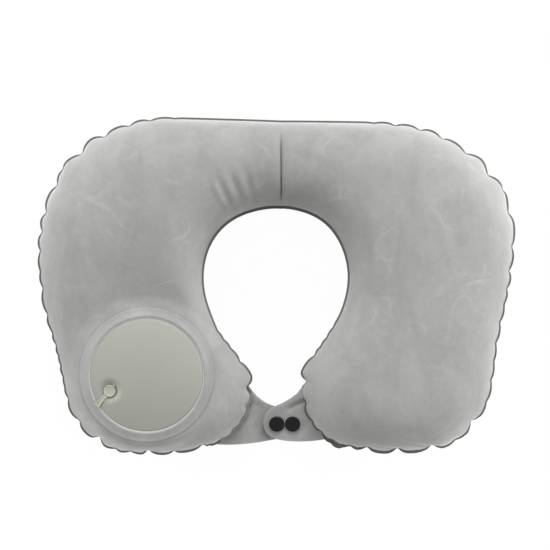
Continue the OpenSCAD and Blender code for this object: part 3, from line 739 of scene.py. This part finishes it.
# %% [markdown]
# ## The weld flange
# Outside the air the two sheets lie flat on each other in a narrow weld. At each nick the weld is
# gathered further than the sheet above it, so the scallops are deepest at the cut edge. Where a closing
# tab is welded in, the two sheets part to let it through. The flange is part of each sheet's own grid,
# because a ring laid against it would show a gap.

# %% Edges of the flange
arm = np.concatenate([np.full(LEFT, -1), np.full(rows - LEFT, 1)])
beside_left_tab = (arm < 0) & (inner_s > 12)
wide_out = FLANGE + 0.6 * ((arm > 0) & (outer_s < 66))
wide_in = FLANGE + 1.6 * (beside_left_tab & (inner_s < 66))
wide_in += 3.2 * (arm > 0) * np.exp(-((inner_s - 9) / 9) ** 2)
wide_in += 0.8 * ease((inner_s - 170) / 50)


def gathered(wide, nicks_of, which):
    """Width of the weld: wide less 0.45 times the depth of the nicks, and 0.3 mm at least."""
    return np.maximum(0.3, wide - 0.45 * gathers(nicks_of, which, 3.0))[:, None]


def over_tab(side):
    """How far the sheets part at the inner rail for a tab: 1 from 16 to 59 mm beside one lobe tip, else 0, as
    a product of two logistic steps."""
    return (arm == side) / (1 + np.exp(-(inner_s - 16) / 2.5)) / (1 + np.exp((inner_s - 59) / 2.5))


def at_nick(nicks_of, which):
    """1 where a station lies on a nick of more than 1.2 mm, where the puffed sheet hides the weld, else 0."""
    def on(side):
        deep = np.array([p for p, depth in nicks_of[side] if depth > 1.2])
        return np.exp(-(np.abs(along(side, which)[:, None] - deep).min(1) / 0.9) ** 2)
    return two_arms(on)[:, None]


edge_out = front[:, 0, :2] + OUT_OF_OUTER * gathered(wide_out, OUTER_NICKS, 0)
edge_in = front[:, -1, :2] + OUT_OF_INNER * gathered(wide_in, INNER_NICKS, 1)
pole_edge = np.array([rails(side, 0)[0][0] for side in (-1, 1)])
print("most width of the flange, outer and inner, mm:", wide_out.max().round(1), wide_in.max().round(1))

# %% [markdown]
# ## Front and back panels
# Each panel is the blown-up grid with its flange, closed at both lobe tips, with one subdivision and the
# thickness of the sheet. Three attributes tell the flock where it is welded, where shade is painted into
# the nape crease and the weld, and where light and shade are painted by zone, which a painted image could
# not do without a file.

# %% What the flock is told
WELD_TONES = np.array([1.0, 0.9, 0.55])


def mark(piece, label, values):
    """Store one number per point under a label that the flock material reads."""
    numbers = np.asarray(values, np.float32)
    piece.data.attributes.new(label, "FLOAT", "POINT").data.foreach_set("value", numbers)


def weld_tone(width):
    """How dark the weld is painted, partly for its bare nap and partly as painted shade of the flange under
    the
    puffed sheet: 1 at the cut edge, less on the two columns beside it, and weaker on the nicks, beside the
    left tab and along the neck's sides."""
    tone = np.zeros((rows, width))
    tone[:, :3] = WELD_TONES * (1 - 0.75 * at_nick(OUTER_NICKS, 0))
    tone[:, -3:] = WELD_TONES[::-1] * (1 - 0.75 * at_nick(INNER_NICKS, 1))
    tone[beside_left_tab & (inner_s < 62), -3:] *= 0.4
    tone[:, -3:] *= 1 - 0.3 * (ease((inner_s - 70) / 30) * ease((250 - inner_s) / 60))[:, None]
    return tone


def painted_light_and_shade_tone(width):
    """Painted light and shade by the distance from the nape: bells of 150 mm at the nape and of 80 mm at
    260 mm are painted darker, and the lobes from 350 mm on are painted paler."""
    tone = 1.0 - 1.9 * np.exp(-(nape_off / 150) ** 2) - 0.6 * np.exp(-((nape_off - 260) / 80) ** 2)
    return np.repeat((tone + 0.8 * ease((nape_off - 350) / 100))[:, None], width, 1)


print("brush at the nape and at the lobe tips:", painted_light_and_shade_tone(1)[[LEFT - 1, 0, -1], 0].round(2))

# %% Both panels
SHEET = 0.7
OFF_SEAM = SHEET + 0.05
TAB_GAP = 3.2
EDGE_AND_SUPPORT = np.array([1, 0.25])
HOLE_R = 51.0


def with_flange(grid, sign):
    """A sheet moved off the seam and parted for its tab, with the flange's edge and support columns."""
    from_weld = np.linalg.norm(grid - grid[:, -1:], axis=-1)
    grid = grid + [0, 0, sign * OFF_SEAM]
    grid[..., 2] += sign * TAB_GAP * over_tab(sign)[:, None] * np.exp(-(from_weld / 7) ** 2)
    outer_edge = np.concatenate([edge_out, grid[:, 0, 2:]], 1)
    inner_edge = np.concatenate([edge_in, grid[:, -1, 2:]], 1)
    full = np.concatenate([span(grid[:, 0], outer_edge, EDGE_AND_SUPPORT), grid,
                           span(grid[:, -1], inner_edge, EDGE_AND_SUPPORT[::-1])], 1)
    full[..., 2] = np.maximum(full[..., 2], 0)
    return full


def tip_caps(width):
    """Faces that join the first and the last row to the two points at each lobe tip, weld edge and crown."""
    j, caps = np.arange(1, width - 2), []
    for row, pole in ((0, rows * width), (rows - 1, rows * width + 2)):
        at = row * width
        cap = np.stack([np.full(len(j), pole + 1), at + j, at + j + 1], 1).tolist()
        cap += [[pole, at, at + 1, pole + 1], [pole, pole + 1, at + width - 2, at + width - 1]]
        caps += cap if row == 0 else [face[::-1] for face in cap]
    return caps


def panel(node, grid, sign):
    """One sheet, sign 1 for the front and -1 for the back: columns edge, support, crown, support, edge, and
    two points at each lobe tip. The front one is left open under the pump."""
    full = with_flange(grid, sign)
    width = full.shape[1]
    quads = grid_quads(rows, width)
    if sign > 0:
        quads = quads[from_axis(full.reshape(-1, 3)[quads].mean(1), PUMP) > HOLE_R]
    tips = np.stack([pole_edge, poles[:, :2]], 1).reshape(-1, 2)
    tips = np.column_stack([tips, np.full(len(tips), SEAM_Z + sign * OFF_SEAM)])
    piece = make_piece(node + "_flock", np.concatenate([full.reshape(-1, 3), tips]),
                       quads.tolist() + tip_caps(width), panel_flock)
    # Painted shade on the weld and in the nape crease, and painted light and shade by zone along the U.
    fold = np.exp(-(nape_off / 0.7) ** 2)[:, None] * crease_fade(full[..., :2])
    tones = {"weld": (weld_tone(width), 1), "fold": (fold, 0), "painted_light_and_shade": (painted_light_and_shade_tone(width), 1)}
    for label, (tone, at_tip) in tones.items():
        mark(piece, label, np.append(tone, np.full(len(tips), at_tip)))
    outward(piece, sign)
    smooth = piece.modifiers.new("smooth", "SUBSURF")
    smooth.levels = smooth.render_levels = 1
    thicken(piece, "skin", SHEET)
    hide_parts(node)
    print(piece.name, "faces before subdivision:", len(piece.data.polygons))


panel("front_panel", front, 1)
panel("back_panel", back, -1)

# %% [markdown]
# ## The pump's flocked lip
# Under the flock the pump's flange makes a flat step round the pump, which the front sheet already has.
# Where the sheet laps up the collar's bead it makes a low rounded lip. The grid is too coarse there, so
# the lip is a turned ring that lies on the flat step and runs out into it, and it hides the sheet's cut
# hole.

# %% Flocked lip
LATHE = 288


def spokes(steps):
    """Unit vectors at equal steps round a circle: cosine and sine of 360 degrees * step / steps."""
    a = 2 * np.pi * np.arange(steps) / steps
    return np.stack([np.cos(a), np.sin(a)], 1)


def turned(profile, centre, steps):
    """Revolve (r, z) rows about a vertical axis: a (steps, n, 3) grid, one column per profile point."""
    r, z = np.asarray(profile, float).T
    xy = np.asarray(centre) + spokes(steps)[:, None] * r[:, None]
    return np.concatenate([xy, np.broadcast_to(z[:, None], (steps, len(z), 1))], -1)


def closed_rows(grid, loop=False):
    """Quads of a turned grid, whose last row meets the first; with loop each profile is closed too."""
    return grid_quads(*grid.shape[:2], wrap=loop, meet=True)[:, [0, 3, 2, 1]]


lip_r = np.array([49.15, 49.2, 49.4, 49.8, 50.5, 51.5, 52.5, 53.5, 54.5, 55.3, 56.0, 56.8])
lip_z = np.array([1.0, 1.5, 1.66, 1.66, 1.45, 1.12, 0.80, 0.53, 0.33, 0.23, 0.17, 0.10])
lip_grid = turned(np.stack([lip_r, SEAT_Z + lip_z], 1), PUMP, LATHE)
pump_lip = make_piece("pump_flocked_lip", lip_grid, closed_rows(lip_grid), panel_flock)
# Painted light: the flocked lip is painted 10 % paler all round.
mark(pump_lip, "painted_light_and_shade", np.ones(lip_grid[..., 0].size))
thicken(pump_lip, "skin", 0.5)
print("flocked lip, mm across:", 2 * lip_r[0], "to", 2 * lip_r[-1])

# %% [markdown]
# ## Moulded finishes
# Collar, dome and plug are soft PVC mouldings: slightly milky, with a satin skin. The collar is the
# clearest of the three and catches the light as a thin bright ring, and the dome's film is matt. The
# snaps are moulded acetal, nearly black, with a dull shine. The foam is cut from open-cell polyurethane,
# so it is matt and pitted, and the chamber is made of frosted film. They differ only in numbers, so one
# function makes them all.

# %% Vinyl, resin, foam and film materials
SKIN_GRAIN = 0.6


def moulded(name, tone, other, rough, size, subsurface=0.0, bump=0.1, sheen=0.0, shine=0.5):
    """A moulded finish: two close tones in slow noise of the given size in mm, which also varies the
    roughness by 0.05 either way, and a fine 0.6 mm skin texture."""
    material, tree = new_material(name)
    in_mm = millimetres(tree)
    slow = add(tree, "ShaderNodeTexNoise", Vector=in_mm, Scale=1 / size, Detail=3.0,
               Roughness=0.5).outputs["Fac"]
    fine = add(tree, "ShaderNodeTexNoise", Vector=in_mm, Scale=1 / SKIN_GRAIN, Detail=2.0).outputs["Fac"]
    colour = add(tree, "ShaderNodeMix", COLOUR_MIX, Factor=slow, A=linear(tone), B=linear(other))
    gloss = add(tree, "ShaderNodeMapRange", Value=slow, To_Min=rough - 0.05, To_Max=rough + 0.05)
    grain = add(tree, "ShaderNodeBump", Height=fine, Strength=bump, Distance=0.0002)
    shader = add(tree, "ShaderNodeBsdfPrincipled", Base_Color=colour.outputs["Result"],
                 Roughness=gloss.outputs[0], Normal=grain.outputs["Normal"], IOR=1.52, Sheen_Weight=sheen,
                 Subsurface_Weight=subsurface, Subsurface_Radius=(0.004, 0.004, 0.0035), Subsurface_Scale=1.0,
                 Specular_IOR_Level=shine)
    add(tree, "ShaderNodeOutputMaterial", Surface=shader.outputs["BSDF"])
    return material


collar_vinyl = moulded("milky_soft_vinyl", "#b0b0ae", "#b9b9b7", 0.36, 18, subsurface=0.12)
dome_vinyl = moulded("matt_soft_vinyl_film", "#94968e", "#9c9e95", 0.58, 40, subsurface=0.10)
plug_vinyl = moulded("satin_soft_vinyl", "#a6a899", "#aeb0a2", 0.46, 9, subsurface=0.15)
snap_resin = moulded("black_acetal_resin", "#0d0e0f", "#121314", 0.50, 6, shine=0.25)
foam_cells = moulded("open_cell_foam", "#cfc8ad", "#dcd6bf", 0.95, 3, bump=0.6, sheen=0.2)
tie_film = moulded("frosted_vinyl_film", "#b9bcbc", "#c4c6c6", 0.55, 25)
print("moulded finishes ready:", len(bpy.data.materials), "materials in all")

# %% [markdown]
# ## The pump collar
# The collar is one turned profile: a bore, a rounded bead and a flange under the sheet. A torus would
# give the bead alone, but the bore and the flange show when the dome is pressed.

# %% Collar
bead = np.array([(47.5, -16), (47.5, 0.6), (47.62, 1.1), (48.0, 1.45), (48.5, 1.6), (49.1, 1.6), (49.6, 1.45),
                 (49.98, 1.1), (50.1, 0.6), (50.1, -1.2), (58, -1.2), (58, -2.4), (50.1, -2.4), (50.1, -16)])
collar_grid = turned(bead + [0, SEAT_Z], PUMP, LATHE)
collar_faces = closed_rows(collar_grid, loop=True)
collar = outward(make_piece("pump_collar_bead", collar_grid, collar_faces, collar_vinyl))
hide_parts("pump_collar")
print("collar points:", collar_grid[..., 0].size)

# %% [markdown]
# ## The dome
# The dome is a cap of a large ball with a round pocket off its middle. A boolean would cut the pocket
# through the mesh at any place, so the grid runs from the pocket's circle to the dome's circle instead:
# each spoke joins the two circles at the same angle, and both circles are exact grid lines.

# %% Dome with its pocket
DOME_R, DOME_RISE, BALL = 47.2, 6.5, 188.66
DOME_SPOKES, DOME_RINGS = 240, 45
POCKET_OFF, POCKET_TURN, POCKET_BASE = 34.0, 203.5, 1.2
DOME_FILM = 1.1


def toward(degrees):
    """Unit vector at an angle from the X axis: its cosine and sine."""
    return np.array([math.cos(math.radians(degrees)), math.sin(math.radians(degrees))])


def ball_height(r):
    """Height of the dome over the seat at radius r: 6.5 mm in the middle, on a ball of 188.66 mm."""
    return DOME_RISE - BALL + np.sqrt(BALL ** 2 - r ** 2)


POCKET = PUMP + POCKET_OFF * toward(POCKET_TURN)
floor_r = np.array([4.6, 5.2, 5.6, 5.9, 6.2])
floor_z = np.array([0.4, 0.4, 0.6, 0.95, 1.15])
lip = np.array([6.6, 7.2, 7.9, 8.7, 9.6, 10.5, 11.5])
lip_share = np.array([0.05, 0.17, 0.36, 0.58, 0.79, 0.94, 1.0])
spoke = spokes(DOME_SPOKES)
pocket_xy = POCKET + spoke[:, None] * np.concatenate([floor_r, lip])[None, :, None]
out = np.linspace(0, 1, DOME_RINGS + 1)[1:] ** 1.15
xy = np.concatenate([pocket_xy, span(pocket_xy[:, -1], PUMP + spoke * (DOME_R - 0.5), out)], 1)
z = ball_height(from_axis(xy, PUMP))
on_floor, on_lip = np.s_[:, :len(floor_r)], np.s_[:, len(floor_r):len(floor_r) + len(lip)]
z[on_floor] = floor_z
z[on_lip] = POCKET_BASE + (z[on_lip] - POCKET_BASE) * lip_share
edge = turned([(DOME_R - 0.15, 0.3), (DOME_R, -0.2), (DOME_R, -3), (DOME_R, -12)], PUMP, DOME_SPOKES)
dome_grid = np.concatenate([np.concatenate([xy, z[..., None]], -1), edge], 1) + [0, 0, SEAT_Z]
dome = make_piece("pump_dome_film", dome_grid, closed_rows(dome_grid), dome_vinyl, "pump_dome")
thicken(dome, "skin", DOME_FILM)
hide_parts("pump_dome")
print("dome points:", dome_grid[..., 0].size)

# %% [markdown]
# ## The foam inside the pump
# A block of open-cell foam fills the pump and springs the dome back. It is a turned form with soft edges,
# dented under the pocket, built at rest; pressed, the real foam flattens towards the chamber floor. A
# simulation would add nothing, because the foam is hidden at rest.

# %% Pump foam
FOAM_SPOKES = 120
DENT_DEPTH, DENT_R = 13.6, 11.5
top_r = np.arange(2, 41, 2.0)
top_z = ball_height(top_r) - 2.0 - 0.8 * (top_r / 40) ** 2
side_of_foam = [(43.5, -1.4), (45.2, -3.6), (45.4, -8.4), (45.4, -24.4), (45.2, -29.4), (44.2, -31.6),
                (42, -32.3), (10.5, -32.3), (9.6, -31.6), (9.4, -31.1)]
foam_profile = np.concatenate([np.stack([top_r, top_z], 1), side_of_foam]) + [0, SEAT_Z]
foam_grid = turned(foam_profile, PUMP, FOAM_SPOKES)
dented = np.s_[:, :len(top_r) + 2]
foam_grid[..., 2][dented] -= DENT_DEPTH * np.exp(-(from_axis(foam_grid, POCKET)[dented] / DENT_R) ** 6)
foam_poles = np.array([[*PUMP, SEAT_Z + 4.5], [*PUMP, SEAT_Z - 31.0]])
first_ring = np.arange(FOAM_SPOKES) * len(foam_profile)
foam_pole = FOAM_SPOKES * len(foam_profile)
foam_faces = closed_rows(foam_grid).tolist() + fan(foam_pole, first_ring, back=True)
foam_faces += fan(foam_pole + 1, first_ring + len(foam_profile) - 1)
foam_points = np.concatenate([foam_grid.reshape(-1, 3), foam_poles])
foam = outward(make_piece("pump_foam_block", foam_points, foam_faces, foam_cells))
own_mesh(foam)
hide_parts("pump_foam")
print("foam block, mm high:", np.ptp(foam_grid[..., 2]).round(1))

# %% [markdown]
# ## The valve plug
# The plug is one moulding: a cup-shaped head with a stem under it, a pull nub, and a strap with raised
# edges that widens into a foot on the collar. Head and nub are turned, and the strap is a channel section
# carried along a gentle path, which keeps its edges sharper than a bevelled curve would.

# %% Plug, strap and foot
STRAP_TURN = 228.0
head = turned([(3.5, 2.95), (3.75, 3.0), (4.0, 3.28), (4.3, 3.4), (4.75, 3.38), (5.0, 3.2), (5.1, 2.9),
               (5.1, 1.2), (4.95, 0.9), (4.6, 0.8), (2.9, 0.8), (2.6, -1.6), (1.9, -3.4), (1.5, -3.65)],
              (0, 0), 64)
nub = turned([(0.5, 3.1), (0.95, 3.0), (1.25, 2.75), (1.3, 2.4), (1.3, 2.0), (1.1, 1.75), (0.6, 1.7)],
             (-5.6, 0), 32)
path_x = np.array([4.4, 5.4, 6.6, 8.0, 9.4, 10.8, 12.0, 12.8, 13.4, 14.0, 14.8, 15.8, 16.6, 17.0, 17.1])
path_z = np.array([2.75, 2.8, 2.8, 2.8, 2.8, 2.78, 2.74, 2.66, 2.52, 2.36, 2.22, 2.14, 2.12, 2.12, 2.12])
half = np.array([1.9, 1.7, 1.6, 1.6, 1.6, 1.62, 1.68, 1.78, 1.95, 2.2, 2.5, 2.75, 2.75, 2.5, 2.1])
thick = np.array([0.6, 0.6, 0.6, 0.6, 0.6, 0.6, 0.6, 0.58, 0.55, 0.53, 0.52, 0.51, 0.5, 0.42, 0.3])
section = np.array([(-1, -0.7), (-0.9, -1), (0.9, -1), (1, -0.7), (1, 0.7), (0.9, 1), (0.72, 0.95),
                    (0.55, 0.45), (0.2, 0.35), (-0.2, 0.35), (-0.55, 0.45), (-0.72, 0.95), (-0.9, 1),
                    (-1, 0.7)])
strap = np.stack([np.broadcast_to(path_x, (len(section), len(path_x))), section[:, :1] * half,
                  path_z + section[:, 1:] * thick], -1)


def capped(grid, start):
    """Quads of a grid with closed rows, its points numbered from start, and an n-gon over each end column."""
    n, cols = grid.shape[:2]
    column = np.arange(n) * cols + start
    return (closed_rows(grid) + start).tolist() + [column[::-1].tolist(), (column + cols - 1).tolist()]


plug_points, plug_faces = np.zeros((0, 3)), []
for grid in (head, nub, strap):
    plug_faces += capped(grid, len(plug_points))
    plug_points = np.concatenate([plug_points, grid.reshape(-1, 3)])
c, s = toward(STRAP_TURN)
plug_points = plug_points @ np.array([[c, s, 0], [-s, c, 0], [0, 0, 1]]) + [*POCKET, SEAT_Z]
plug = outward(make_piece("valve_plug_strap", plug_points, plug_faces, plug_vinyl, None))
bevel = plug.modifiers.new("soft_edges", "BEVEL")
bevel.width, bevel.segments, bevel.limit_method, bevel.angle_limit = 0.12 * MM, 2, "ANGLE", math.radians(50)
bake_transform(plug)
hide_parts("valve_plug", "plug_anchor")
print("plug and strap points:", len(plug_points))

# %% [markdown]
# ## The closing tabs
# Each tab is cut from the same flocked sheet, folded double, with a round end. It is a patch between a
# lower and an upper edge, both starting at the middle of the round end; at the root the patch follows the
# lobe tip's weld. A filled outline would have no grid to fold, and a patch has one.

# %% Outline of a tab
LAP = 4.5
TAB_ROWS, TAB_COLS = 61, 25
RIGHT_EDGES = dict(end=(3.2, -116.0, 14.3), up=(26, 11, (16.5, -96.5), (26.8, -79.3)),
                   low=(165, 13, (32.0, -132.6), (48.0, -129.5)))
LEFT_EDGES = dict(end=(-7.7, -116.6, 12.5), up=(10, 13, (14.5, -101.5), (27.0, -79.5)),
                  low=(178, 12, (20.0, -136.3), (60.0, -136.2)))
along_tab = np.linspace(0.05, 1, TAB_ROWS) ** 1.15
across_tab = np.linspace(0, 1, TAB_COLS)


def bezier(a, b, c, d):
    """Sixty points of a cubic curve: (1-t)^3 a + 3 (1-t)^2 t b + 3 (1-t) t^2 c + t^3 d."""
    t = np.linspace(0, 1, 60)[:, None]
    return (1 - t) ** 3 * a + 3 * (1 - t) ** 2 * t * b + 3 * (1 - t) * t ** 2 * c + t ** 3 * d


def tab_edges(end, up, low):
    """Lower and upper edge of a tab that grows from the right lobe, both from the middle of its round end.
    Each leaves the round end at a heading, with a lead in mm, and curves by a far handle to its foot on the
    lobe."""
    end = np.array(end)

    def leave(turn, sign, lead, handle, foot):
        ahead = toward(turn)
        start = end[:2] + end[2] * np.array([-ahead[1], ahead[0]])
        return bezier(start, start + sign * lead * ahead, np.array(handle), np.array(foot))

    upper = np.vstack([arc(end, 90, up[0]), leave(up[0], 1, *up[1:])[1:]])
    lower = np.vstack([arc(end, low[0], 90)[::-1], leave(low[0], -1, *low[1:])[1:]])
    return lower, upper


def cut_at_lobe(path):
    """Keep a path up to where it laps inside the lobe tip's circle."""
    p = at_share(path, np.linspace(0, 1, 1500))
    inside = from_axis(p, TIP) < TIP_R - LAP
    return p[:np.argmax(inside)] if inside.any() else p


def tab_plan(edges):
    """Plan of a tab that grows from the right lobe, from its round end to its root, and each point's distance
    from the nearer side edge. The last rows bend to the lobe tip's arc by the fifth power of their share."""
    low, high = [at_share(cut_at_lobe(path), along_tab) for path in tab_edges(**edges)]
    grid = span(low, high, across_tab)
    first, last = [math.atan2(*(side[-1] - TIP)[::-1]) % (2 * np.pi) for side in (low, high)]
    around = first + (last - first) * across_tab
    root = TIP + (TIP_R - LAP) * np.stack([np.cos(around), np.sin(around)], 1)
    grid += (along_tab ** 5)[:, None, None] * (root - grid[-1])[None]
    return grid, np.minimum(across_tab, 1 - across_tab)[None] * np.linalg.norm(high - low, axis=1)[:, None]


print("tab lengths along the middle, mm:",
      [run(tab_plan(edges)[0][:, TAB_COLS // 2])[-1].round(1) for edges in (RIGHT_EDGES, LEFT_EDGES)])

# %% Tabs
TAB_THICK = 1.7
SLACK_FOLDS = [(-1.3, (24.0, -98.0), (7.0, -106.0), 2.0), (0.9, (22.0, -94.5), (6.0, -101.5), 2.6),
               (-1.0, (21.0, -83.0), (17.5, -98.0), 1.6)]


def valley(grid, a, b, width):
    """A soft groove from a to b: exp(-(distance / width) ** 2), fading to nothing at b."""
    a, b = np.array(a), np.array(b)
    share = (grid - a) @ (b - a) / ((b - a) @ (b - a))
    off = np.linalg.norm(grid - a - np.clip(share, 0, 1)[..., None] * (b - a), axis=-1)
    return np.exp(-(off / width) ** 2) * ease((1.05 - share) / 0.6)


def tab(name, edges, side, z, node, slack):
    """One tab of two plies at height z, with rolled edges and slack folds near its root, on the right
    (side 1) or turned over to the left (-1)."""
    grid, from_edge = tab_plan(edges)
    height = -0.45 * np.exp(-(from_edge / 2.0) ** 2)
    for lift, a, b, width in SLACK_FOLDS:
        height += lift * slack * valley(grid, a, b, width)
    ply = np.concatenate([grid * [side, 1], (z + height)[..., None]], -1)
    piece = outward(make_piece(name, ply, grid_quads(TAB_ROWS, TAB_COLS), painted_paler_tab_flock, None), 1)
    thicken(piece, "two_plies", TAB_THICK, 0)
    round_edge = piece.modifiers.new("pressed_edge", "BEVEL")
    round_edge.width, round_edge.segments, round_edge.limit_method = 0.45 * MM, 2, "ANGLE"
    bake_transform(piece)
    # Painted highlight: a pale band about 1.3 mm wide along the tab's sides and round end.
    from_rim = np.minimum(from_edge, 40 * (along_tab - along_tab[0])[:, None])
    mark(piece, "painted_light_and_shade", 2.0 * np.exp(-(from_rim / 1.3) ** 2).ravel())
    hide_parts(node, node + "_root")


tab("right_closing_tab", RIGHT_EDGES, 1, 45.6, "right_tab", 1.0)
tab("left_closing_tab", LEFT_EDGES, -1, 41.4, "left_tab", 0.4)

# %% [markdown]
# ## Finishes for the measured solids that stay
# Snaps, nozzle, check valve, chamber film and tie keep their solids, which are exact. They only get their
# real materials.

# %% Node finishes
SNAPS = [f"snap_{part}_{end}" for part in ("cap", "socket", "stud", "back") for end in ("left", "right")]
FINISH = {
    snap_resin: SNAPS,
    plug_vinyl: ["inlet_nozzle", "check_valve_seat", "check_flap"],
    tie_film: ["pump_base", "centre_tie"],
}
for material, nodes in FINISH.items():
    for name in nodes:
        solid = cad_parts[name]
        solid.data.materials.clear()
        solid.data.materials.append(material)
print("solids kept:", sum(map(len, FINISH.values())))

# %% [markdown]
# ## Camera and floor
# The pillow lies flat and is seen straight from above. One photo pixel is 0.85 mm at the rim, so a 400 mm
# lens stands 5.2 m over it, and from so far there is hardly any perspective. The floor is near white and
# keeps a trace of shadow: to the camera it mostly glows, and to the light it is a pale grey that lights
# the underside.

# %% Camera
PHOTO_PX, PX_MM = 550, 0.85
LENS, SENSOR = 400.0, 36.0
AIM_X, AIM_Y = -0.0011, 0.00935
scene = bpy.context.scene
scene.view_settings.view_transform = "Standard"
lens = bpy.data.cameras.new("camera")
lens.lens, lens.sensor_width = LENS, SENSOR
lens.clip_end = 20.0
camera = bpy.data.objects.new("camera", lens)
camera.location = (AIM_X, AIM_Y, SEAM_Z * MM + PHOTO_PX * PX_MM * MM / SENSOR * LENS)
scene.collection.objects.link(camera)
scene.camera = camera
print("camera height, m:", round(camera.location.z, 3))

# %% Floor
FLOOR, FLOOR_Z = 4000, -0.2
MAXIMUM = {"operation": "MAXIMUM"}
floor_paint, tree = new_material("pale_floor")
matt = add(tree, "ShaderNodeBsdfPrincipled", Base_Color=linear("#b4b4b4"), Roughness=0.9).outputs["BSDF"]
ray = add(tree, "ShaderNodeLightPath").outputs
seen = add(tree, "ShaderNodeMath", MAXIMUM, in0=ray["Is Camera Ray"], in1=ray["Is Glossy Ray"]).outputs[0]
seen = add(tree, "ShaderNodeMath", MAXIMUM, in0=seen, in1=ray["Is Transmission Ray"]).outputs[0]
most = add(tree, "ShaderNodeMath", {"operation": "MULTIPLY"}, in0=seen, in1=0.94).outputs[0]
white = add(tree, "ShaderNodeEmission", Color=(1.0, 1.0, 1.0, 1.0), Strength=1.04).outputs[0]
blend = add(tree, "ShaderNodeMixShader", in0=most, in1=matt, in2=white).outputs[0]
add(tree, "ShaderNodeOutputMaterial", Surface=blend)
corners = [(x * FLOOR, y * FLOOR, FLOOR_Z) for x, y in ((-1, -1), (1, -1), (1, 1), (-1, 1))]
floor = make_piece("floor", corners, [(0, 1, 2, 3)], floor_paint, None)
print("floor, m across:", 2 * FLOOR * MM)

# %% [markdown]
# ## Light
# A wide soft lamp beyond the nape lights the crown, with weaker ones at the sides and an even sky. Lamps
# stand low, because a suede-like nap shows its folds in light that grazes it.

# %% Lamps and sky
LIGHT_AIM = np.array([0, 0, 0.05])


def soft_lamp(name, place, size, power):
    """A square area lamp at a place in metres, turned to shine at the pillow's middle."""
    light = bpy.data.lights.new(name, "AREA")
    light.size, light.energy = size, power
    lamp = bpy.data.objects.new(name, light)
    lamp.location = place
    away = np.array(place) - LIGHT_AIM
    away /= np.linalg.norm(away)
    lamp.rotation_euler = (math.acos(away[2]), 0, math.atan2(away[0], -away[1]))
    scene.collection.objects.link(lamp)


soft_lamp("key_beyond_nape", (0.15, 1.7, 0.82), 1.1, 34)
soft_lamp("fill_left", (-1.7, 0.1, 0.6), 1.0, 19)
soft_lamp("fill_right", (1.7, 0.1, 0.55), 1.0, 28)
scene.world = bpy.data.worlds.new("studio")
scene.world.use_nodes = True
sky = scene.world.node_tree.nodes["Background"]
sky.inputs["Color"].default_value = linear("#f8f8f8")
sky.inputs["Strength"].default_value = 0.57
print("lamps:", len(bpy.data.lights))
